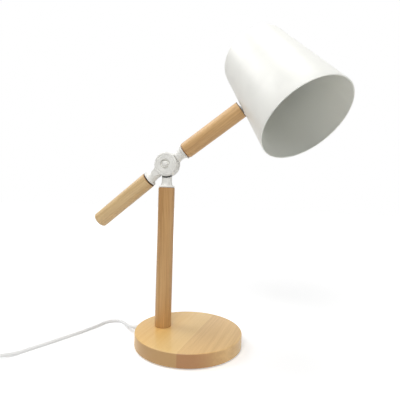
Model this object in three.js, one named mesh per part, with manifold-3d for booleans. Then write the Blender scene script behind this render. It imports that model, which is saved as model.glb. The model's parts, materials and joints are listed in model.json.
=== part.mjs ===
import * as THREE from "three";
import { mergeVertices } from "three/addons/utils/BufferGeometryUtils.js";
import Module from "manifold-3d";

// A desk lamp: a round wooden foot, an upright rod, a friction hinge that carries a short
// tail rod and an arm rod, and a cone shade that swivels about the end of the arm rod.
// Millimetres, +Z up. The origin is the middle of the underside of the foot's pad.
// Both rods and the upright lie in the plane y = 0, with the shade toward +X.

const wasm = await Module();
wasm.setup();

// General
const FIT_GAP = 0.3; // between two pieces that touch
const OVERRUN = 1; // a cutting solid runs this far past the face it cuts
const WELD = 1e-4;
const RIM_SIDES = 64;
const SHELL_SIDES = 54;
const ROUND_SIDES = 32;
const ROD_SIDES = 24;
const SMALL_SIDES = 14;
const FINE_SIDES = 10;
const WIRE_SIDES = 6;
const ARC_STEPS = 4;
const EDGE_STEPS = 2;

// Foot
const BASE_DIAMETER = 160;
const BASE_THICKNESS = 19;
const BASE_EDGE_ROUND = 1.6;
const BASE_LOWER_ROUND = 0.8;
const PAD_DIAMETER = 150;
const PAD_THICKNESS = 1.5;
const BALLAST_THICKNESS = 8;
const BALLAST_WALL = 10; // wood between it and the foot's edge
const BALLAST_POCKET_WALL = 4; // wood between it and the pocket
const BALLAST_REVEAL = 0.7; // wood below the ballast's underside
const BALLAST_SCREW_INSET = 14; // from its edge
const BALLAST_EDGE_ROUND = 0.6;
const WOOD_SCREW = { radius: 2, headRadius: 3.8, headHeight: 2.2, length: 14 };
const POCKET_RADIUS = 12;
const POCKET_LENGTH = 14; // between the centres of its two round ends
const POCKET_ROOF = 6.6; // wood left above it

// Rods
const ROD_DIAMETER = 25;
const ROD_EDGE_ROUND = 0.7;
const POST_INSET = 38; // its middle, from the foot's edge
const HINGE_Z = 270;
const TUBE_DIAMETER = 10;
const TUBE_BORE = 7;
const TUBE_NUT = { acrossFlats: 14, height: 4 };
const TUBE_WASHER = { radius: 10, height: 1.5 };
const TUBE_SOCKET_DEPTH = 9.4;
const TUBE_LOWER_END = 6.5;

// Hinge
const DISC_RADIUS = 18.3;
const DISC_RIM_ROUND = 2.4;
const TONGUE_HALF = 3;
const LAYER_SPACE = 1.1; // between the tongue and each outer disc
const OUTER_DISC_THICKNESS = 5.5;
const RECESS_RADIUS = 7.9;
const RECESS_DEPTH = 2.8;
const REAR_RECESS_RADIUS = 7.2;
const REAR_RECESS_DEPTH = 2.5;
const FACE_GROOVE = { radius: 14.2, width: 1.6, depth: 0.5 };
const NECK_RADIUS = 7.8;
const FLANGE_RADIUS = 12.1;
const FLANGE_RIM = 2.2;
const FLANGE_ROUND = 0.7;
const FLARE_LENGTH = 8;
const NECK_CLEARANCE = 1; // between a neck and the discs that turn past it
const SHOULDER_CLEARANCE = 3; // between the upright's neck and the outer discs
const POST_REACH = 35.9;
const ARM_REACH = 34.9;
const TAIL_REACH = 38;
const BOLT_RADIUS = 3;
const BOLT_HEAD = { radius: 5, height: 3.4 };
const BOLT_SQUARE = { side: 6.2, length: 2.3 };
const BOLT_TAIL = 1.1; // thread past the nut
const FRICTION_WASHER = { radius: 7, height: 0.5 };
const SPRING_WASHER = { radius: 5.6, height: 1.2, split: 1 };
const HINGE_NUT = { acrossFlats: 10, height: 4 };
const WIRE_GROOVE = { inner: 8.2, outer: 13.2, depth: 2.4 };
const WIRE_BORE = 6.2;

// Tail
const TAIL_DROP_DEG = 38; // below the horizontal, toward -X
const TAIL_END = 148.4; // from the hinge
const TAIL_SEAT_SPACE = 0.8;
const TAIL_END_ROUND = 1.8;
const STUD = { radius: 4, inKnuckle: 9, inRod: 30 };

// Arm
const ARM_RISE_DEG = 35; // above the horizontal, toward +X
const ARM_LENGTH = 197; // from the hinge to the shade's axis
const ROD_END_SPACE = 0.4; // least space between the rod's end and the shade's wall

// Shade
const SHADE_SWIVEL_DEG = 23; // from straight below the arm, toward -Y
const SHADE_LENGTH = 151;
const SHADE_MOUTH_RADIUS = 65.4;
const SHADE_TAPER_DEG = 5.7;
const SHADE_MOUTH_Z = 81.6; // from the arm's axis to the open end
const SHADE_WALL = 0.8;
const SHADE_CORNER = 8;
const HEM = { height: 3, extra: 0.6 };

// Swivel
const COLLAR = { radius: 7, height: 4.3 };
const SEAT = { half: 10, depth: 7.5 };
const BRACKET = { thickness: 2, halfWidth: 10, bend: 4, reach: 11 };
const BRACKET_TOP_Z = -54; // the middle of its cross arm
const SWIVEL_WASHER = { radius: 9, height: 1.2 };
const SWIVEL_TAIL = 1.1; // thread past the swivel nut

// Lampholder and bulb
const HOLDER = { radius: 14, bodyRadius: 13, ringHeight: 11, length: 36, cavity: 8.2, floor: 6.5 };
const TERMINAL_Y = 3; // the wires' places either side of the middle
const NIPPLE = { above: 5, below: 2.2 };
const NIPPLE_NUT_HEIGHT = 3.4;
const SLEEVE = { outer: 7.9, inner: 7.3, length: 20, inset: 3 };
const CONTACT = { radius: 3.5, height: 0.5 };
const BULB_RADIUS = 17.5;
const BULB_TIP_DEPTH = 58.6; // from the shade's mouth
const BULB_LENGTH = 68;
const BULB_WALL = 1;
const BULB_NECK_RADIUS = 11.8;
const GLOBE_STEPS = 7;
const BULB_COLLAR = { lip: 0.9, edge: 0.6 };
const CAP = { radius: 6.9, thread: 0.7, turns: 5, length: 23, tipHeight: 1.7, tipRadius: 2.6 };

// Wires
const WIRE_RADIUS = 1;
const WIRE_PITCH = 2.4; // between the two middles
const WIRE_STEPS = { post: 30, arm: 20, holder: 16 };

// Cord
const CORD_RADIUS = 2.5;
const CORD_SIDES = 8;
const CORD_LIE_Z = 2.6; // its middle where it lies
const CORD_EXIT_HEIGHT = 9.5; // above the wood's underside
const RELIEF = { barrel: 4.5, flange: 6.5, flangeHeight: 1.5, root: 4.9, tip: 3.9, out: 12, inside: 12 };
const RELIEF_BORE = 3.2;
const CLAMP = { halfWidth: 8, length: 7, under: 2.8, screwY: 5.6, space: 3.8 };
const CLAMP_SCREW = { radius: 1.25, headRadius: 2.2, headHeight: 1.5, bite: 4.5 };
const CORD_STEPS = { run: 48, link: 16, tail: 8 };
const COIL_LEAD = 7; // straight cord before the coil's first turn

// Put-away length: switch, coil and plug
const SWITCH = { length: 64, width: 25, height: 16, corner: 8, bevel: 1.5 };
const SWITCH_AT = [-217.8, -152.9];
const SWITCH_HEADING_DEG = 248.8;
const ROCKER = { length: 17, width: 9.4, crown: 1.6, dip: 0.9, pivotRadius: 1.2, tiltDeg: 6, depth: 3.4 };
const ROCKER_WINDOW_SPACE = 1;
const COIL = { x: -292, y: -190, middleRadius: 30, turns: 7.25, pitch: 5.6, startDeg: -90 };
const COIL_STEPS = 24;
const COIL_SIDES = 6;
const TIE = { thickness: 0.8, space: 0.4, length: 6, atDeg: -135 };
const CORD_TAIL = 24;
const PLUG = { width: 35.3, height: 13.7, faceLength: 10, taperLength: 16, neckLength: 14 };
const PLUG_NECK = { root: 4.6, tip: 3.4 };
const PLUG_REAR_WIDTH = 13;
const PLUG_ROUND = 2;
const PIN = { radius: 2, length: 19, spacing: 19 };

// Places worked out from the sizes
const rad = THREE.MathUtils.degToRad;
const ROD_RADIUS = ROD_DIAMETER / 2;
const TUBE_RADIUS = TUBE_DIAMETER / 2;
const TUBE_HOLE = TUBE_RADIUS + FIT_GAP;
const BASE_RADIUS = BASE_DIAMETER / 2;
const POST_X = POST_INSET - BASE_RADIUS;
const POCKET_EDGE_X = POST_X + POCKET_RADIUS;
const BALLAST_EDGE_X = BASE_RADIUS - BALLAST_WALL;
const BALLAST_RADIUS = (BALLAST_EDGE_X - POCKET_EDGE_X - BALLAST_POCKET_WALL) / 2;
const BALLAST_X = BALLAST_EDGE_X - BALLAST_RADIUS;
const RELIEF_END_X = RELIEF.inside - FIT_GAP - BASE_RADIUS;
const CORD_END_X = RELIEF_END_X + CLAMP.space + CLAMP.length;
const WOOD_BOTTOM = PAD_THICKNESS + FIT_GAP;
const WOOD_TOP = WOOD_BOTTOM + BASE_THICKNESS;
const POCKET_TOP = WOOD_TOP - POCKET_ROOF;
const CORD_Z = WOOD_BOTTOM + CORD_EXIT_HEIGHT;
const OUTER_NEAR = TONGUE_HALF + LAYER_SPACE;
const OUTER_FAR = OUTER_NEAR + OUTER_DISC_THICKNESS;
const TAPER = Math.tan(rad(SHADE_TAPER_DEG));
const shadeRadius = (z) => SHADE_MOUTH_RADIUS - (SHADE_MOUTH_Z - z) * TAPER;
const SHADE_BACK_Z = SHADE_MOUTH_Z - SHADE_LENGTH;
const ROD_END_X = shadeRadius(ROD_RADIUS) + ROD_END_SPACE; // from the shade's axis
const ARM_ROD_END = ARM_LENGTH - ROD_END_X;
const SEAT_X = shadeRadius(0) - SHADE_WALL - SEAT.depth;
const BRACKET_X = SEAT_X - FIT_GAP;
const WASHER_X = BRACKET_X - BRACKET.thickness - FIT_GAP;
const SWIVEL_NUT_X = WASHER_X - SWIVEL_WASHER.height - FIT_GAP;
const TUBE_END_X = SWIVEL_NUT_X - TUBE_NUT.height - SWIVEL_TAIL;
const HOLDER_TOP = BRACKET_TOP_Z + BRACKET.thickness / 2 + FIT_GAP;
const HOLDER_RIM = HOLDER_TOP + HOLDER.length;
const HOLDER_FLOOR = HOLDER_TOP + HOLDER.floor;
const BULB_TIP = SHADE_MOUTH_Z - BULB_TIP_DEPTH;
const BULB_BASE = BULB_TIP - BULB_LENGTH;
const BULB_MIDDLE = BULB_TIP - BULB_RADIUS;
const BULB_NECK_Z = BULB_MIDDLE - Math.sqrt(BULB_RADIUS ** 2 - BULB_NECK_RADIUS ** 2);
const COIL_LOW_Z = TIE.thickness + TIE.space + CORD_RADIUS;
const COIL_HIGH_Z = COIL_LOW_Z + COIL.pitch;

// Materials
const material = (color, roughness, metalness) =>
  new THREE.MeshStandardMaterial({ color, roughness, metalness });
const WOOD = material(0xdcb283, 0.55, 0);
const WHITE_METAL = material(0xf3f3f1, 0.4, 0);
const STEEL = material(0xb9bcc0, 0.35, 1);
const BRASS = material(0xc9a357, 0.35, 1);
const DARK_STEEL = material(0x4a4c50, 0.6, 1);
const FOAM = material(0x2c2c2e, 0.9, 0);
const WHITE_PLASTIC = material(0xf0f0ee, 0.45, 0);
const OPAL = material(0xfbfaf5, 0.25, 0);
const CORD_PVC = material(0xeeeeec, 0.5, 0);
const LIVE_PVC = material(0x7a4a2a, 0.5, 0);
const NEUTRAL_PVC = material(0x2f58a0, 0.5, 0);
const NYLON = material(0xe6e3dc, 0.5, 0);

// A closed geometry as a solid with its faces pointing out.
function solidOf(geometry) {
  const bare = geometry.clone();
  bare.deleteAttribute("normal");
  bare.deleteAttribute("uv");
  const merged = mergeVertices(bare, WELD);
  const corners = merged.index.array;
  const kept = [];
  for (let i = 0; i < corners.length; i += 3) {
    const [a, b, c] = corners.slice(i, i + 3);
    if (a !== b && b !== c && c !== a) kept.push(a, b, c);
  }
  const build = (triangles) =>
    new wasm.Manifold(
      new wasm.Mesh({
        numProp: 3,
        vertProperties: Float32Array.from(merged.attributes.position.array),
        triVerts: Uint32Array.from(triangles),
      }),
    );
  const made = build(kept);
  return made.volume() < 0 ? build(kept.reverse()) : made;
}

// A named mesh of a solid.
function meshOf(name, solid, look) {
  const { vertProperties, triVerts } = solid.getMesh();
  const indexed = new THREE.BufferGeometry();
  indexed.setAttribute("position", new THREE.BufferAttribute(vertProperties, 3));
  indexed.setIndex(new THREE.BufferAttribute(triVerts, 1));
  const geometry = indexed.toNonIndexed();
  geometry.computeVertexNormals();
  const mesh = new THREE.Mesh(geometry, look);
  mesh.name = name;
  return mesh;
}

// Points of an arc in a profile, both ends included.
function arc(x, y, radius, fromDeg, toDeg, steps = ARC_STEPS) {
  return Array.from({ length: steps + 1 }, (_, i) => {
    const angle = rad(fromDeg + ((toDeg - fromDeg) * i) / steps);
    return [x + radius * Math.cos(angle), y + radius * Math.sin(angle)];
  });
}

// A closed ring profile for a piece with a bore, or an open one that ends on the axis.
function revolve(profile, sides) {
  const onAxis = profile[0][0] === 0;
  const points = onAxis ? profile : [...profile, profile[0]];
  return new THREE.LatheGeometry(
    points.map(([r, h]) => new THREE.Vector2(r, h)),
    sides,
  );
}

// Turned about Z: each profile point is [radius, z].
const turned = (profile, sides = SMALL_SIDES) =>
  solidOf(revolve(profile, sides).rotateX(Math.PI / 2));

// Turned about Y, the hinge's direction: each profile point is [radius, y].
const turnedAcross = (profile, sides = SMALL_SIDES) => solidOf(revolve(profile, sides));

// Turned about X, the direction of the arm in the shade's frame: each point is [radius, x].
const turnedAlong = (profile, sides = SMALL_SIDES) =>
  solidOf(revolve(profile, sides).rotateZ(-Math.PI / 2));

// A cylinder's profile, or a tube's when bore is given.
const bar = (radius, low, high, bore = 0) => [
  [bore, low],
  [radius, low],
  [radius, high],
  [bore, high],
];

// The same with its two outer edges rounded.
const softBar = (radius, low, high, lowRound, highRound, bore = 0) => [
  [bore, low],
  ...arc(radius - lowRound, low + lowRound, lowRound, -90, 0, EDGE_STEPS),
  ...arc(radius - highRound, high - highRound, highRound, 0, 90, EDGE_STEPS),
  [bore, high],
];

// A box from two opposite corners.
function block(low, high) {
  const size = low.map((v, i) => high[i] - v);
  const geometry = new THREE.BoxGeometry(...size);
  geometry.translate(...low.map((v, i) => v + size[i] / 2));
  return solidOf(geometry);
}

const shapeOf = (points) => new THREE.Shape(points.map(([x, y]) => new THREE.Vector2(x, y)));

// An outline in XZ, given a thickness along Y.
function plate(points, yLow, yHigh) {
  const options = { depth: yHigh - yLow, bevelEnabled: false };
  const geometry = new THREE.ExtrudeGeometry(shapeOf(points), options);
  return solidOf(geometry.rotateX(Math.PI / 2).translate(0, yHigh, 0));
}

// A hexagon nut about Z.
function hexNut(acrossFlats, bore, low, high) {
  const corner = acrossFlats / Math.sqrt(3);
  const shape = shapeOf(arc(0, 0, corner, 0, 300, 5));
  shape.holes.push(new THREE.Path().absarc(0, 0, bore, 0, 2 * Math.PI, true));
  const options = { depth: high - low, bevelEnabled: false, curveSegments: FINE_SIDES };
  return new THREE.ExtrudeGeometry(shape, options).translate(0, 0, low);
}

const toAcross = (geometry) => geometry.rotateX(-Math.PI / 2); // Z becomes Y

// A round tube along a curve.
function strand(points, radius, sides, steps) {
  const section = shapeOf(arc(0, 0, radius, 0, 360 - 360 / sides, sides - 1));
  const curve = new THREE.CatmullRomCurve3(points.map((p) => new THREE.Vector3(...p)));
  const options = { steps, extrudePath: curve, bevelEnabled: false };
  return solidOf(new THREE.ExtrudeGeometry(section, options));
}

// Foot

function ballastScrewPlaces() {
  return [-1, 1].map((side) => [BALLAST_X, side * (BALLAST_RADIUS - BALLAST_SCREW_INSET)]);
}

function baseDisc() {
  const disc = turned(
    softBar(BASE_RADIUS, WOOD_BOTTOM, WOOD_TOP, BASE_LOWER_ROUND, BASE_EDGE_ROUND),
    RIM_SIDES,
  );
  const below = WOOD_BOTTOM - OVERRUN;
  const ballastTop = WOOD_BOTTOM + BALLAST_REVEAL + BALLAST_THICKNESS + FIT_GAP;
  const ballastSpace = BALLAST_RADIUS + FIT_GAP;
  const recess = turned(bar(ballastSpace, below, ballastTop), ROUND_SIDES).translate(
    BALLAST_X,
    0,
    0,
  );
  const boreX = -BASE_RADIUS - OVERRUN;
  const reliefBore = turnedAlong(bar(RELIEF.barrel + FIT_GAP, boreX, POST_X - POCKET_LENGTH));
  const tubeBore = turned(bar(TUBE_HOLE, below, WOOD_TOP + OVERRUN));
  let made = disc
    .subtract(recess)
    .subtract(pocket())
    .subtract(reliefBore.translate(0, 0, CORD_Z))
    .subtract(tubeBore.translate(POST_X, 0, 0));
  const pilot = turned(bar(WOOD_SCREW.radius + FIT_GAP, below, screwTop() + FIT_GAP), FINE_SIDES);
  for (const [x, y] of ballastScrewPlaces()) made = made.subtract(pilot.translate(x, y, 0));
  const clampPilot = turned(
    bar(CLAMP_SCREW.radius + FIT_GAP, POCKET_TOP - OVERRUN, POCKET_TOP + CLAMP_SCREW.bite + FIT_GAP),
    FINE_SIDES,
  );
  for (const y of clampScrewPlaces()) made = made.subtract(clampPilot.translate(clampX(), y, 0));
  return made;
}

// The space under the upright for its nut and for the cord's end.
function pocket() {
  const low = WOOD_BOTTOM - OVERRUN;
  const end = turned(bar(POCKET_RADIUS, low, POCKET_TOP), SMALL_SIDES);
  const middle = block(
    [POST_X - POCKET_LENGTH, -POCKET_RADIUS, low],
    [POST_X, POCKET_RADIUS, POCKET_TOP],
  );
  return end.translate(POST_X, 0, 0).add(end.translate(POST_X - POCKET_LENGTH, 0, 0)).add(middle);
}

const ballastLow = () => WOOD_BOTTOM + BALLAST_REVEAL;
const screwTop = () => ballastLow() + WOOD_SCREW.length;

function ballast() {
  const low = ballastLow();
  let made = turned(
    softBar(
      BALLAST_RADIUS,
      low,
      low + BALLAST_THICKNESS,
      BALLAST_EDGE_ROUND,
      BALLAST_EDGE_ROUND,
    ),
    ROUND_SIDES,
  ).translate(BALLAST_X, 0, 0);
  const hole = turned(
    countersink(WOOD_SCREW, low, low + BALLAST_THICKNESS + OVERRUN, FIT_GAP),
    FINE_SIDES,
  );
  for (const [x, y] of ballastScrewPlaces()) made = made.subtract(hole.translate(x, y, 0));
  return made;
}

// A flat-headed screw's outline, head down, grown by the space given.
const countersink = (screw, low, high, space) => [
  [0, low - space],
  [screw.headRadius + space, low - space],
  [screw.headRadius + space, low + space],
  [screw.radius + space, low + screw.headHeight + space],
  [screw.radius + space, high],
  [0, high],
];

const woodScrew = () =>
  turned(countersink(WOOD_SCREW, ballastLow(), screwTop(), 0), FINE_SIDES);

const basePad = () => turned(bar(PAD_DIAMETER / 2, 0, PAD_THICKNESS), ROUND_SIDES);

function cordRelief() {
  const wall = -BASE_RADIUS - FIT_GAP;
  const profile = [
    [RELIEF_BORE, RELIEF_END_X],
    [RELIEF.barrel, RELIEF_END_X],
    [RELIEF.barrel, wall],
    [RELIEF.flange, wall],
    [RELIEF.flange, wall - RELIEF.flangeHeight],
    [RELIEF.root, wall - RELIEF.flangeHeight],
    ...[1, 2, 3].flatMap((k) => reliefRib(wall, k)),
    [RELIEF.tip, wall - RELIEF.out],
    [RELIEF_BORE, wall - RELIEF.out],
  ];
  return turnedAlong(profile, FINE_SIDES).translate(0, 0, CORD_Z);
}

// One of the ribs that let the sleeve bend.
function reliefRib(wall, k) {
  const span = RELIEF.out - RELIEF.flangeHeight;
  const share = (x) => RELIEF.root + ((RELIEF.tip - RELIEF.root) * x) / span;
  const ribShare = 0.2;
  const slotShare = 0.08;
  const depth = (RELIEF.tip - RELIEF_BORE) / 2;
  const start = span * ribShare * k;
  const end = start + span * slotShare;
  const outer = wall - RELIEF.flangeHeight;
  return [
    [share(start), outer - start],
    [share(start) - depth, outer - start],
    [share(end) - depth, outer - end],
    [share(end), outer - end],
  ];
}

const clampX = () => CORD_END_X - CLAMP.length / 2;
const clampScrewPlaces = () => [-1, 1].map((side) => side * CLAMP.screwY);
const clampLow = () => CORD_Z - CORD_RADIUS - CLAMP.under;

function cordClamp() {
  const half = CLAMP.length / 2;
  const x = clampX();
  const body = block(
    [x - half, -CLAMP.halfWidth, clampLow()],
    [x + half, CLAMP.halfWidth, POCKET_TOP - FIT_GAP],
  );
  const groove = block(
    [x - half - OVERRUN, -CORD_RADIUS - FIT_GAP, CORD_Z],
    [x + half + OVERRUN, CORD_RADIUS + FIT_GAP, POCKET_TOP + OVERRUN],
  );
  const round = turnedAlong(
    bar(CORD_RADIUS + FIT_GAP, x - half - OVERRUN, x + half + OVERRUN),
  ).translate(0, 0, CORD_Z);
  const hole = turned(
    bar(CLAMP_SCREW.radius + FIT_GAP, clampLow() - OVERRUN, POCKET_TOP + OVERRUN),
    FINE_SIDES,
  );
  return clampScrewPlaces().reduce(
    (made, y) => made.subtract(hole.translate(x, y, 0)),
    body.subtract(groove).subtract(round),
  );
}

function clampScrew() {
  const head = clampLow() - FIT_GAP;
  return turned(
    [
      [0, head - CLAMP_SCREW.headHeight],
      [CLAMP_SCREW.headRadius, head - CLAMP_SCREW.headHeight],
      [CLAMP_SCREW.headRadius, head],
      [CLAMP_SCREW.radius, head],
      [CLAMP_SCREW.radius, POCKET_TOP + CLAMP_SCREW.bite],
      [0, POCKET_TOP + CLAMP_SCREW.bite],
    ],
    FINE_SIDES,
  );
}

// Upright

function postRod() {
  const low = WOOD_TOP + FIT_GAP;
  const high = HINGE_Z - POST_REACH;
  return turned(
    softBar(ROD_RADIUS, low, high, ROD_EDGE_ROUND, ROD_EDGE_ROUND, TUBE_HOLE),
    ROD_SIDES,
  );
}

const tubeWasherTop = () => POCKET_TOP - FIT_GAP;
const tubeNutTop = () => tubeWasherTop() - TUBE_WASHER.height - FIT_GAP;

const postTube = () =>
  turned(bar(TUBE_RADIUS, TUBE_LOWER_END, HINGE_Z - socketEnd(POST_REACH), TUBE_BORE / 2));

const postWasher = () =>
  turned(bar(TUBE_WASHER.radius, tubeWasherTop() - TUBE_WASHER.height, tubeWasherTop(), TUBE_HOLE));

const postNut = () =>
  solidOf(hexNut(TUBE_NUT.acrossFlats, TUBE_HOLE, tubeNutTop() - TUBE_NUT.height, tubeNutTop()));

// Hinge. Each knuckle is drawn with the hinge on Y and its rod along +Z.

const flangeFace = (reach) => reach - FIT_GAP;
const socketEnd = (reach) => flangeFace(reach) - TUBE_SOCKET_DEPTH + FIT_GAP;

// The round neck, which flares to the flange that its rod seats on.
function neck(reach, inner) {
  const face = flangeFace(reach);
  const rimLow = face - FLANGE_RIM;
  const edge = FLANGE_RADIUS - FLANGE_ROUND;
  const flare = Array.from({ length: ARC_STEPS + 1 }, (_, i) => {
    const t = i / (ARC_STEPS + 1);
    const swell = 1 - Math.sqrt(1 - t * t);
    return [NECK_RADIUS + (edge - NECK_RADIUS) * swell, rimLow - FLARE_LENGTH * (1 - t)];
  });
  const profile = [
    [0, inner],
    [NECK_RADIUS, inner],
    ...flare,
    ...arc(edge, rimLow + FLANGE_ROUND, FLANGE_ROUND, -90, 0, EDGE_STEPS),
    ...arc(edge, face - FLANGE_ROUND, FLANGE_ROUND, 0, 90, EDGE_STEPS),
    [0, face],
  ];
  return turned(profile, ROD_SIDES);
}

// Room for the discs that turn past a neck, from yLow to yHigh.
const turningSpace = (radius, yLow, yHigh) => turnedAcross(bar(radius, yLow, yHigh), ROUND_SIDES);

// The tube's socket and the wires' way out of it, at the end of a knuckle.
function socket(reach, inner) {
  const tube = turned(bar(TUBE_HOLE, socketEnd(reach) - FIT_GAP, reach + OVERRUN));
  return tube.add(turned(bar(WIRE_BORE / 2, inner, reach), FINE_SIDES));
}

// A ring groove and a slot to it, where the wires cross the hinge.
function wireWay(reach, yLow, yHigh, slotHigh) {
  const ring = turnedAcross(bar(WIRE_GROOVE.outer, yLow, yHigh, WIRE_GROOVE.inner));
  const half = WIRE_BORE / 2;
  return ring.add(block([-half, 0, WIRE_GROOVE.inner], [half, slotHigh, socketEnd(reach)]));
}

function postKnuckle() {
  const shoulder = DISC_RADIUS + SHOULDER_CLEARANCE;
  const tongue = turnedAcross(
    softBar(DISC_RADIUS, -TONGUE_HALF, TONGUE_HALF, FLANGE_ROUND, FLANGE_ROUND),
    ROUND_SIDES,
  );
  const stem = neck(POST_REACH, DISC_RADIUS / 2)
    .subtract(turningSpace(shoulder, TONGUE_HALF, ROD_RADIUS))
    .subtract(turningSpace(shoulder, -ROD_RADIUS, -TONGUE_HALF));
  const grooveLow = TONGUE_HALF - WIRE_GROOVE.depth;
  const wires = wireWay(POST_REACH, grooveLow, TONGUE_HALF + OVERRUN, TONGUE_HALF + FIT_GAP);
  return tongue
    .add(stem)
    .subtract(socket(POST_REACH, shoulder))
    .subtract(boltHole(-TONGUE_HALF, TONGUE_HALF))
    .subtract(wires);
}

const boltHole = (yLow, yHigh) =>
  turnedAcross(bar(BOLT_RADIUS + FIT_GAP, yLow - OVERRUN, yHigh + OVERRUN), FINE_SIDES);

// The disc's profile from its inner face to its outer one, with the rim rounded outside.
function outerDisc(side) {
  const made = softBar(DISC_RADIUS, OUTER_NEAR, OUTER_FAR, FLANGE_ROUND, DISC_RIM_ROUND);
  const disc = turnedAcross(made, ROUND_SIDES);
  return side < 0 ? disc.mirror([0, 1, 0]) : disc;
}

// A short web that joins an outer disc to its neck.
function neckWeb() {
  const far = DISC_RADIUS + FLARE_LENGTH;
  const low = DISC_RADIUS / 2;
  const points = [
    [-NECK_RADIUS, low],
    [NECK_RADIUS, low],
    [NECK_RADIUS - FLANGE_ROUND, DISC_RADIUS + OVERRUN],
    [NECK_RADIUS / 2, far],
    [-NECK_RADIUS / 2, far],
    [-NECK_RADIUS + FLANGE_ROUND, DISC_RADIUS + OVERRUN],
  ];
  return plate(points, OUTER_NEAR, OUTER_FAR - FLANGE_ROUND * 2);
}

function faceGroove() {
  const { radius, width, depth } = FACE_GROOVE;
  const [inner, outer] = [radius - width / 2, radius + width / 2];
  return turnedAcross(bar(outer, OUTER_FAR - depth, OUTER_FAR + OVERRUN, inner), ROUND_SIDES);
}

function tailKnuckle() {
  const space = turningSpace(DISC_RADIUS + NECK_CLEARANCE, -OUTER_NEAR, ROD_RADIUS);
  const stem = neck(TAIL_REACH, DISC_RADIUS / 2).subtract(space);
  const half = BOLT_SQUARE.side / 2 + FIT_GAP;
  const square = block([-half, -OUTER_FAR, -half], [half, 0, half]);
  const recess = turnedAcross(bar(RECESS_RADIUS, -OUTER_FAR - OVERRUN, RECESS_DEPTH - OUTER_FAR));
  const studHole = turned(
    bar(STUD.radius + FIT_GAP, flangeFace(TAIL_REACH) - STUD.inKnuckle - FIT_GAP, TAIL_REACH + OVERRUN),
    FINE_SIDES,
  );
  return outerDisc(-1)
    .add(neckWeb().mirror([0, 1, 0]))
    .add(stem)
    .subtract(square)
    .subtract(recess)
    .subtract(faceGroove().mirror([0, 1, 0]))
    .subtract(studHole);
}

function armKnuckle() {
  const space = turningSpace(DISC_RADIUS + NECK_CLEARANCE, -ROD_RADIUS, OUTER_NEAR);
  const stem = neck(ARM_REACH, DISC_RADIUS / 2).subtract(space);
  const recess = turnedAcross(
    bar(REAR_RECESS_RADIUS, OUTER_FAR - REAR_RECESS_DEPTH, OUTER_FAR + OVERRUN),
  );
  const grooveHigh = OUTER_NEAR + WIRE_GROOVE.depth;
  return outerDisc(1)
    .add(neckWeb())
    .add(stem)
    .subtract(recess)
    .subtract(boltHole(OUTER_NEAR, OUTER_FAR))
    .subtract(faceGroove())
    .subtract(socket(ARM_REACH, DISC_RADIUS))
    .subtract(wireWay(ARM_REACH, OUTER_NEAR - OVERRUN, grooveHigh, grooveHigh));
}

const boltSeat = () => RECESS_DEPTH - OUTER_FAR - FIT_GAP;
const springSeat = () => OUTER_FAR - REAR_RECESS_DEPTH + FIT_GAP;
const hingeNutLow = () => springSeat() + SPRING_WASHER.height + FIT_GAP;

// Round head in front, square neck in the tail's disc, thread through to the nut behind.
function hingeBolt() {
  const seat = boltSeat();
  const { radius, height } = BOLT_HEAD;
  const rim = height / 4;
  const dome = Array.from({ length: ARC_STEPS + 1 }, (_, i) => {
    const angle = (Math.PI / 2) * (i / ARC_STEPS);
    return [radius * Math.sin(angle), seat - rim - (height - rim) * Math.cos(angle)];
  });
  const end = hingeNutLow() + HINGE_NUT.height + BOLT_TAIL;
  const body = turnedAcross([
    [0, seat - height],
    ...dome.slice(1),
    [radius, seat],
    [BOLT_RADIUS, seat],
    ...arc(BOLT_RADIUS - FIT_GAP, end - FIT_GAP, FIT_GAP, 0, 90, 1),
    [0, end],
  ]);
  const half = BOLT_SQUARE.side / 2;
  return body.add(block([-half, seat - rim, -half], [half, seat + BOLT_SQUARE.length, half]));
}

function frictionWasher(side) {
  const low = TONGUE_HALF + FIT_GAP;
  const high = low + FRICTION_WASHER.height;
  const made = turnedAcross(bar(FRICTION_WASHER.radius, low, high, BOLT_RADIUS + FIT_GAP));
  return side < 0 ? made.mirror([0, 1, 0]) : made;
}

// A split ring whose two ends stand apart.
function springWasher() {
  const low = springSeat();
  const high = low + SPRING_WASHER.height;
  const { radius, split } = SPRING_WASHER;
  const ring = turnedAcross(bar(radius, low, high, BOLT_RADIUS + FIT_GAP));
  const cut = block([0, low - OVERRUN, -split / 2], [radius + OVERRUN, high + OVERRUN, split / 2]);
  return ring.subtract(cut);
}

function hingeNut() {
  const low = hingeNutLow();
  const nut = hexNut(HINGE_NUT.acrossFlats, BOLT_RADIUS + FIT_GAP, low, low + HINGE_NUT.height);
  return solidOf(toAcross(nut));
}

// Tail

const tailRodLow = () => flangeFace(TAIL_REACH) + FIT_GAP + TAIL_SEAT_SPACE;

function tailRod() {
  const rod = turned(
    softBar(ROD_RADIUS, tailRodLow(), TAIL_END, ROD_EDGE_ROUND, TAIL_END_ROUND),
    ROD_SIDES,
  );
  const hole = turned(
    bar(STUD.radius + FIT_GAP, tailRodLow() - OVERRUN, tailRodLow() + STUD.inRod + FIT_GAP),
    FINE_SIDES,
  );
  return rod.subtract(hole);
}

const tailStud = () =>
  turned(
    softBar(
      STUD.radius,
      flangeFace(TAIL_REACH) - STUD.inKnuckle,
      tailRodLow() + STUD.inRod,
      FLANGE_ROUND,
      FLANGE_ROUND,
    ),
    FINE_SIDES,
  );

// Arm, with +Z along it from the hinge

function armRod() {
  const rod = turned(
    softBar(ROD_RADIUS, ARM_REACH, ARM_ROD_END, ROD_EDGE_ROUND, ROD_EDGE_ROUND, TUBE_HOLE),
    ROD_SIDES,
  );
  const space = COLLAR.radius + FIT_GAP;
  return rod.subtract(turned(bar(space, collarEnd() - FIT_GAP, ARM_ROD_END + OVERRUN)));
}

const collarFace = () => ARM_LENGTH - shadeRadius(COLLAR.radius) - FIT_GAP;
const collarEnd = () => collarFace() - COLLAR.height;

const swivelCollar = () => turned(bar(COLLAR.radius, collarEnd(), collarFace(), TUBE_HOLE));

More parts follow.
